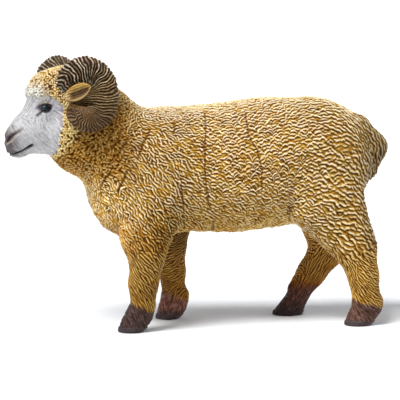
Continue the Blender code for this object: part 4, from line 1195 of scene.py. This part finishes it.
def horn_mesh():
    pts, quads = level_mesh(horn_field, (-9.5, -0.5, -10), (11.5, 19.5, 15.5), 0.42)
    if np.einsum("ij,ij->i", pts[quads[:, 0]], np.cross(pts[quads[:, 1]], pts[quads[:, 2]])).sum() < 0:
        quads = quads[:, ::-1]
    p, q = refine(pts, quads, 2)
    p, n = settle(horn_field, p, 1)
    # the family of ridge lines, each from a point on the outer edge to one by the ear
    rule = spline(np.concatenate([np.array(RIDGES, float)], 0), np.linspace(0, 1, 760))
    edge, hub = rule[:, :2], rule[:, 2:]
    s = np.linspace(-0.09, 0.9, 760)
    ray_ = edge - hub
    rl = np.linalg.norm(ray_, axis=1)
    ray_ = ray_ / rl[:, None]
    run = np.concatenate([[0], np.cumsum(np.linalg.norm(np.diff(edge, axis=0), axis=1))])
    _, near = horn_samples(p)
    near_s = HORN_S[near]
    L = np.empty(len(p))
    R = np.empty(len(p))
    for i in range(0, len(p), 20000):
        a = p[i:i + 20000][:, [0, 2]]
        dx = a[:, None, 0] - hub[None, :, 0]
        dy = a[:, None, 1] - hub[None, :, 1]
        cross = ray_[None, :, 0] * dy - ray_[None, :, 1] * dx
        dot = ray_[None, :, 0] * dx + ray_[None, :, 1] * dy
        far = np.abs(s[None, :] - near_s[i:i + 20000, None])
        cost = np.abs(cross) + np.where(dot < -0.4, 9.0, 0) + np.clip(far - 0.17, 0, 1) * 40
        k = cost.argmin(1)
        r = np.arange(len(k))
        # between samples
        k2 = np.clip(k + 1, 0, len(s) - 1)
        c0, c1 = cross[r, k], cross[r, k2]
        f = np.where(np.abs(c0 - c1) > 1e-9, c0 / (c0 - c1 + 1e-12), 0)
        f = np.clip(f, -0.5, 0.5)
        L[i:i + 20000] = run[k] + f * (run[k2] - run[k])
        R[i:i + 20000] = dot[r, k] / rl[k]
    u = L / run[-1]
    bend = 0.50 * noise(p, 2.3, 51) + 0.24 * noise(p, 1.0, 52) + 0.34 * np.sin(R * 8.5 + 1.2 * noise(p, 4.0, 58)) * smooth(0.0, 0.25, R)
    phase = L / 1.14 + bend * 0.95
    wide = (0.5 + 0.5 * np.cos(2 * math.pi * phase)) ** 1.05
    step = np.floor(phase + 0.5)
    rnd = hashed(step.astype(np.int64), np.zeros(len(p), np.int64), np.zeros(len(p), np.int64), 59)
    wide = wide * (0.82 + 0.18 * rnd)
    bold = 1.0 - 0.45 * smooth(0.58, 0.80, u) - 0.10 * smooth(0.12, 0.02, u)
    inner = smooth(0.32, 0.06, R) * smooth(0.56, 0.72, u) + 0.4 * smooth(0.10, 0.0, R) * (1 - smooth(0.50, 0.66, u))
    inner = np.clip(inner, 0, 1)
    bold = bold * (1 - 0.50 * inner)
    fine = noise(p, 0.36, 56)
    h = 0.56 * bold * (wide - 0.6) + 0.10 * noise(p, 1.8, 55) + 0.02 * fine
    h *= smooth(1.0, 2.2, HORN_C[near, 3])
    t = np.clip(wide + 0.16 * fine + 0.10 * noise(p, 1.0, 60), 0, 1)
    bright = ramp(t, [(0.0, "#120904"), (0.38, "#2a1b0d"), (0.58, "#5a4429"), (0.76, "#9c8564"), (0.92, "#d6c6a8"), (1.0, "#eadfc8")])
    tan_c = ramp(t, [(0.0, "#241407"), (0.36, "#4b3414"), (0.58, "#80643a"), (0.82, "#b59a6c"), (1.0, "#dac69c")])
    dull = ramp(t, [(0.0, "#38220e"), (0.35, "#533a1e"), (0.65, "#705435"), (1.0, "#957b56")])
    smooth_c = ramp(np.clip(0.5 + 0.4 * fine + 0.25 * (wide - 0.5), 0, 1), [(0.0, "#503317"), (0.5, "#73532f"), (1.0, "#94734a")])
    blush = ramp(t, [(0.0, "#1c0d07"), (0.38, "#3c2414"), (0.58, "#6e4c34"), (0.76, "#ab8a6c"), (0.92, "#d9c3ab"), (1.0, "#e8dac9")])
    bright = mix(bright, blush, smooth(-0.1, 0.7, noise(p, 2.4, 63)) * 0.7)
    col = mix(bright, tan_c, smooth(0.34, 0.52, u))
    col = mix(col, dull, np.clip(smooth(0.56, 0.70, u) * 0.92 + 0.10 * noise(p, 3.0, 57), 0, 1))
    col = mix(col, smooth_c, inner * 0.50)
    col = col * (1 - 0.14 * smooth(0.28, 0.50, u) - 0.10 * (1 - smooth(0.22, 0.40, u)))[:, None]
    grey = smooth(0.12, 0.03, u)
    col = mix(col, ramp(t, [(0.0, "#2b2723"), (0.5, "#5b554e"), (1.0, "#98938a")]), grey * 0.8)
    return p + n * h[:, None], q, col, 0.46 + 0.10 * (1 - t)


hp_, hq_, hcol, hgl = horn_mesh()
note("horn %d" % len(hq_))
make_piece("vis_horn_left", from_head(hp_), hq_[:, ::-1], hcol, hgl, HORN, "horn_left")
make_piece("vis_horn_right", from_head(hp_ * np.array([1, -1, 1]) + np.array([1.3, 0.0, 0.0])), hq_, hcol * 0.80 + hcol.mean(0) * 0.20, hgl, HORN, "horn_right")
note("horns")


# ----------------------------------------------------------------------- ears
def ear(side, name):
    nu, nv = ((170, 110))
    a = np.array([6.1, 8.1, 1.9])
    b = np.array([3.0, 17.8, 5.0])
    axis = (b - a) / np.linalg.norm(b - a)
    wide = np.array([0, 0, 1.0]) - axis * axis[2]
    wide /= np.linalg.norm(wide)
    thin = np.cross(axis, wide)
    if thin[0] < 0:
        thin = -thin
    L = np.linalg.norm(b - a)
    U, V = np.meshgrid(np.linspace(0.0, 1.0, nu), np.linspace(0, 2 * math.pi, nv, endpoint=False), indexing="ij")
    U, V = U.ravel(), V.ravel()
    # a leaf: narrow at the root, widest past the middle, pointed at the tip
    half = 2.3 * np.interp(U, [0, 0.05, 0.14, 0.28, 0.45, 0.62, 0.78, 0.90, 0.96, 1.0], [0.50, 0.64, 0.80, 0.94, 1.0, 0.98, 0.78, 0.48, 0.27, 0.02])
    thick = 0.60 * np.interp(U, [0, 0.2, 0.8, 1.0], [1.5, 1.1, 0.9, 0.2])
    x = np.cos(V)
    y = np.sin(V)
    front = y > 0
    # a broad rolled edge above, a thin one below, and a hollow between, low on the leaf
    dish = np.exp(-(((x + 0.22) / 0.52) ** 2))
    cup = 1.35 * np.interp(U, [0, 0.12, 0.3, 0.6, 0.85, 1.0], [0.1, 0.3, 0.9, 1.0, 0.6, 0.1])
    off = y * thick * (1 - 0.20 * np.abs(x) ** 3)
    hollow = -cup * dish * np.where(front, 1.0, 0.62)
    bend = 0.9 * (U - 0.4) ** 2
    c = a + axis * (U * L)[:, None]
    base = c + wide * (half * x)[:, None] + thin * (off + hollow - bend + 0.45)[:, None]
    wav = 0.5 + 0.5 * np.cos(2 * math.pi * (x * half * 1.55 + 0.45 * noise(base, 1.3, 61) + 0.5 * U))
    nrm = wide * (x * 0.6)[:, None] + thin * y[:, None]
    nrm /= np.linalg.norm(nrm, axis=1)[:, None] + 1e-9
    h = 0.09 * (wav - 0.5) * (1 - 0.6 * np.abs(x) ** 3)
    pts = base + nrm * h[:, None]
    fine = noise(base, 0.4, 62)
    t = np.clip(wav * 0.8 + 0.12 + 0.16 * fine, 0, 1)
    outer = ramp(t, [(0.0, "#7a5712"), (0.4, "#997327"), (0.75, "#b8924a"), (1.0, "#d8bd84")])
    dark = ramp(t, [(0.0, "#24110a"), (0.5, "#432a1e"), (1.0, "#694b3a")])
    inside = front * np.exp(-np.abs((x + 0.28) / 0.54) ** 3) * smooth(0.06, 0.22, U) * (1 - smooth(0.84, 0.97, U))
    col = mix(outer, dark, inside * 0.95)
    root = smooth(0.20, 0.05, U)
    col = mix(col, ramp(t, [(0.0, "#a5814a"), (1.0, "#dcc498")]), root * 0.8)
    lowrim = smooth(-0.66, -0.93, x) * np.where(front, 1.0, 0.5)
    col = mix(col, flat_colour("#bfa674", len(U)), lowrim * 0.75)
    pts[:, 1] *= side
    w = from_head(pts)
    idx = np.arange(nu * nv).reshape(nu, nv)
    q = np.stack([idx[:-1], np.roll(idx, -1, 1)[:-1], np.roll(idx, -1, 1)[1:], idx[1:]], -1).reshape(-1, 4)
    m = w.mean(0)
    if np.einsum("ij,ij->i", w[q[:, 0]] - m, np.cross(w[q[:, 1]] - m, w[q[:, 2]] - m)).sum() < 0:
        q = q[:, ::-1]
    return make_piece("vis_" + name, w, q, col, np.full(len(w), 0.55), EARM, name)


ear(1, "ear_left")
ear(-1, "ear_right")
note("ears")

# ----------------------------------------------------------------- core paint
core_m = bpy.data.materials.new("core_plastic")
core_m.use_nodes = True
nt = core_m.node_tree
bs = nt.nodes["Principled BSDF"]
no = nt.nodes.new("ShaderNodeTexNoise")
no.inputs["Scale"].default_value = 300.0
tc = nt.nodes.new("ShaderNodeTexCoord")
nt.links.new(tc.outputs["Object"], no.inputs["Vector"])
rp = nt.nodes.new("ShaderNodeValToRGB")
rp.color_ramp.elements[0].color = (0.42, 0.40, 0.37, 1)
rp.color_ramp.elements[1].color = (0.56, 0.54, 0.50, 1)
nt.links.new(no.outputs["Fac"], rp.inputs["Fac"])
nt.links.new(rp.outputs["Color"], bs.inputs["Base Color"])
bs.inputs["Roughness"].default_value = 0.55
for o in bpy.data.objects:
    if o.type == "MESH" and o.name.split(".")[0] == "torso_core":
        o.data.materials.clear()
        o.data.materials.append(core_m)

# ------------------------------------------------------ floor, light and camera
floor_m = bpy.data.materials.new("floor_white")
floor_m.use_nodes = True
fb = floor_m.node_tree.nodes["Principled BSDF"]
fb.inputs["Base Color"].default_value = (0.92, 0.93, 0.95, 1)
fb.inputs["Roughness"].default_value = 0.9
fb.inputs["Specular IOR Level"].default_value = 0.1
fno = floor_m.node_tree.nodes.new("ShaderNodeTexNoise")
fno.inputs["Scale"].default_value = 40.0
frp = floor_m.node_tree.nodes.new("ShaderNodeValToRGB")
frp.color_ramp.elements[0].color = (0.775, 0.788, 0.806, 1)
frp.color_ramp.elements[1].color = (0.795, 0.808, 0.826, 1)
floor_m.node_tree.links.new(fno.outputs["Fac"], frp.inputs["Fac"])
floor_m.node_tree.links.new(frp.outputs["Color"], fb.inputs["Base Color"])
# a wide floor that turns up all round into a pale wall
prof = [(1.2, 0.0)] + [(1.2 + 1.0 * math.sin(i / 16 * math.pi / 2), 1.0 * (1 - math.cos(i / 16 * math.pi / 2))) for i in range(1, 17)] + [(2.2, 2.4)]
bm = bmesh.new()
around = 96
centre = bm.verts.new((0, 0, 0))
rings = [[bm.verts.new((r * math.cos(k / around * 2 * math.pi), r * math.sin(k / around * 2 * math.pi), z)) for k in range(around)] for r, z in prof]
for k in range(around):
    bm.faces.new((centre, rings[0][k], rings[0][(k + 1) % around]))
for r0, r1 in zip(rings[:-1], rings[1:]):
    for k in range(around):
        bm.faces.new((r0[k], r1[k], r1[(k + 1) % around], r0[(k + 1) % around]))
bmesh.ops.recalc_face_normals(bm, faces=bm.faces)
fm = bpy.data.meshes.new("floor")
bm.to_mesh(fm)
bm.free()
fm.shade_smooth()
fm.materials.append(floor_m)
floor = bpy.data.objects.new("floor", fm)
bpy.context.scene.collection.objects.link(floor)

scene = bpy.context.scene
world = scene.world or bpy.data.worlds.new("world")
scene.world = world
world.use_nodes = True
bg = world.node_tree.nodes["Background"]
bg.inputs["Color"].default_value = (1.0, 1.0, 1.0, 1)
bg.inputs["Strength"].default_value = 0.052


def soft_sun(name, side, height, spread, strength, colour=(1, 1, 1)):
    """A broad far light: side is degrees to the left of the front, height above the floor."""
    from mathutils import Vector
    li = bpy.data.lights.new(name, "SUN")
    li.energy = strength * math.pi
    li.angle = math.radians(spread)
    li.color = colour
    ob = bpy.data.objects.new(name, li)
    bpy.context.scene.collection.objects.link(ob)
    a, e = math.radians(side), math.radians(height)
    d = Vector((-math.sin(a) * math.cos(e), -math.cos(a) * math.cos(e), math.sin(e)))
    ob.rotation_euler = d.to_track_quat("Z", "Y").to_euler()
    return ob


soft_sun("key", 52, 54, 28, 1.69)
soft_sun("fill", 10, 17, 90, 0.39)

scene.view_settings.view_transform = "Standard"
cam = bpy.data.cameras.new("camera")
cam_ob = bpy.data.objects.new("camera", cam)
scene.collection.objects.link(cam_ob)
from mathutils import Vector, Matrix
az, el = math.radians(-10.0), math.radians(5.5)
back = Vector((math.sin(az) * math.cos(el), -math.cos(az) * math.cos(el), math.sin(el)))
right = Vector((math.cos(az), math.sin(az), 0))
up = back.cross(right)
aim = Vector(((0 + SHIFT[0]) * MM, (0 + SHIFT[1]) * MM, 36.6 * MM))
pos = aim + back * 0.5
cam_ob.matrix_world = Matrix(((right.x, up.x, back.x, pos.x), (right.y, up.y, back.y, pos.y), (right.z, up.z, back.z, pos.z), (0, 0, 0, 1)))
cam.sensor_fit = "HORIZONTAL"
cam.sensor_width = 36.0
cam.lens = 36.0 / (2 * (200.0 / 3.4) / 500.0)
cam.clip_start = 0.01
cam.clip_end = 20.0
scene.camera = cam_ob

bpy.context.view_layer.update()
note("done")
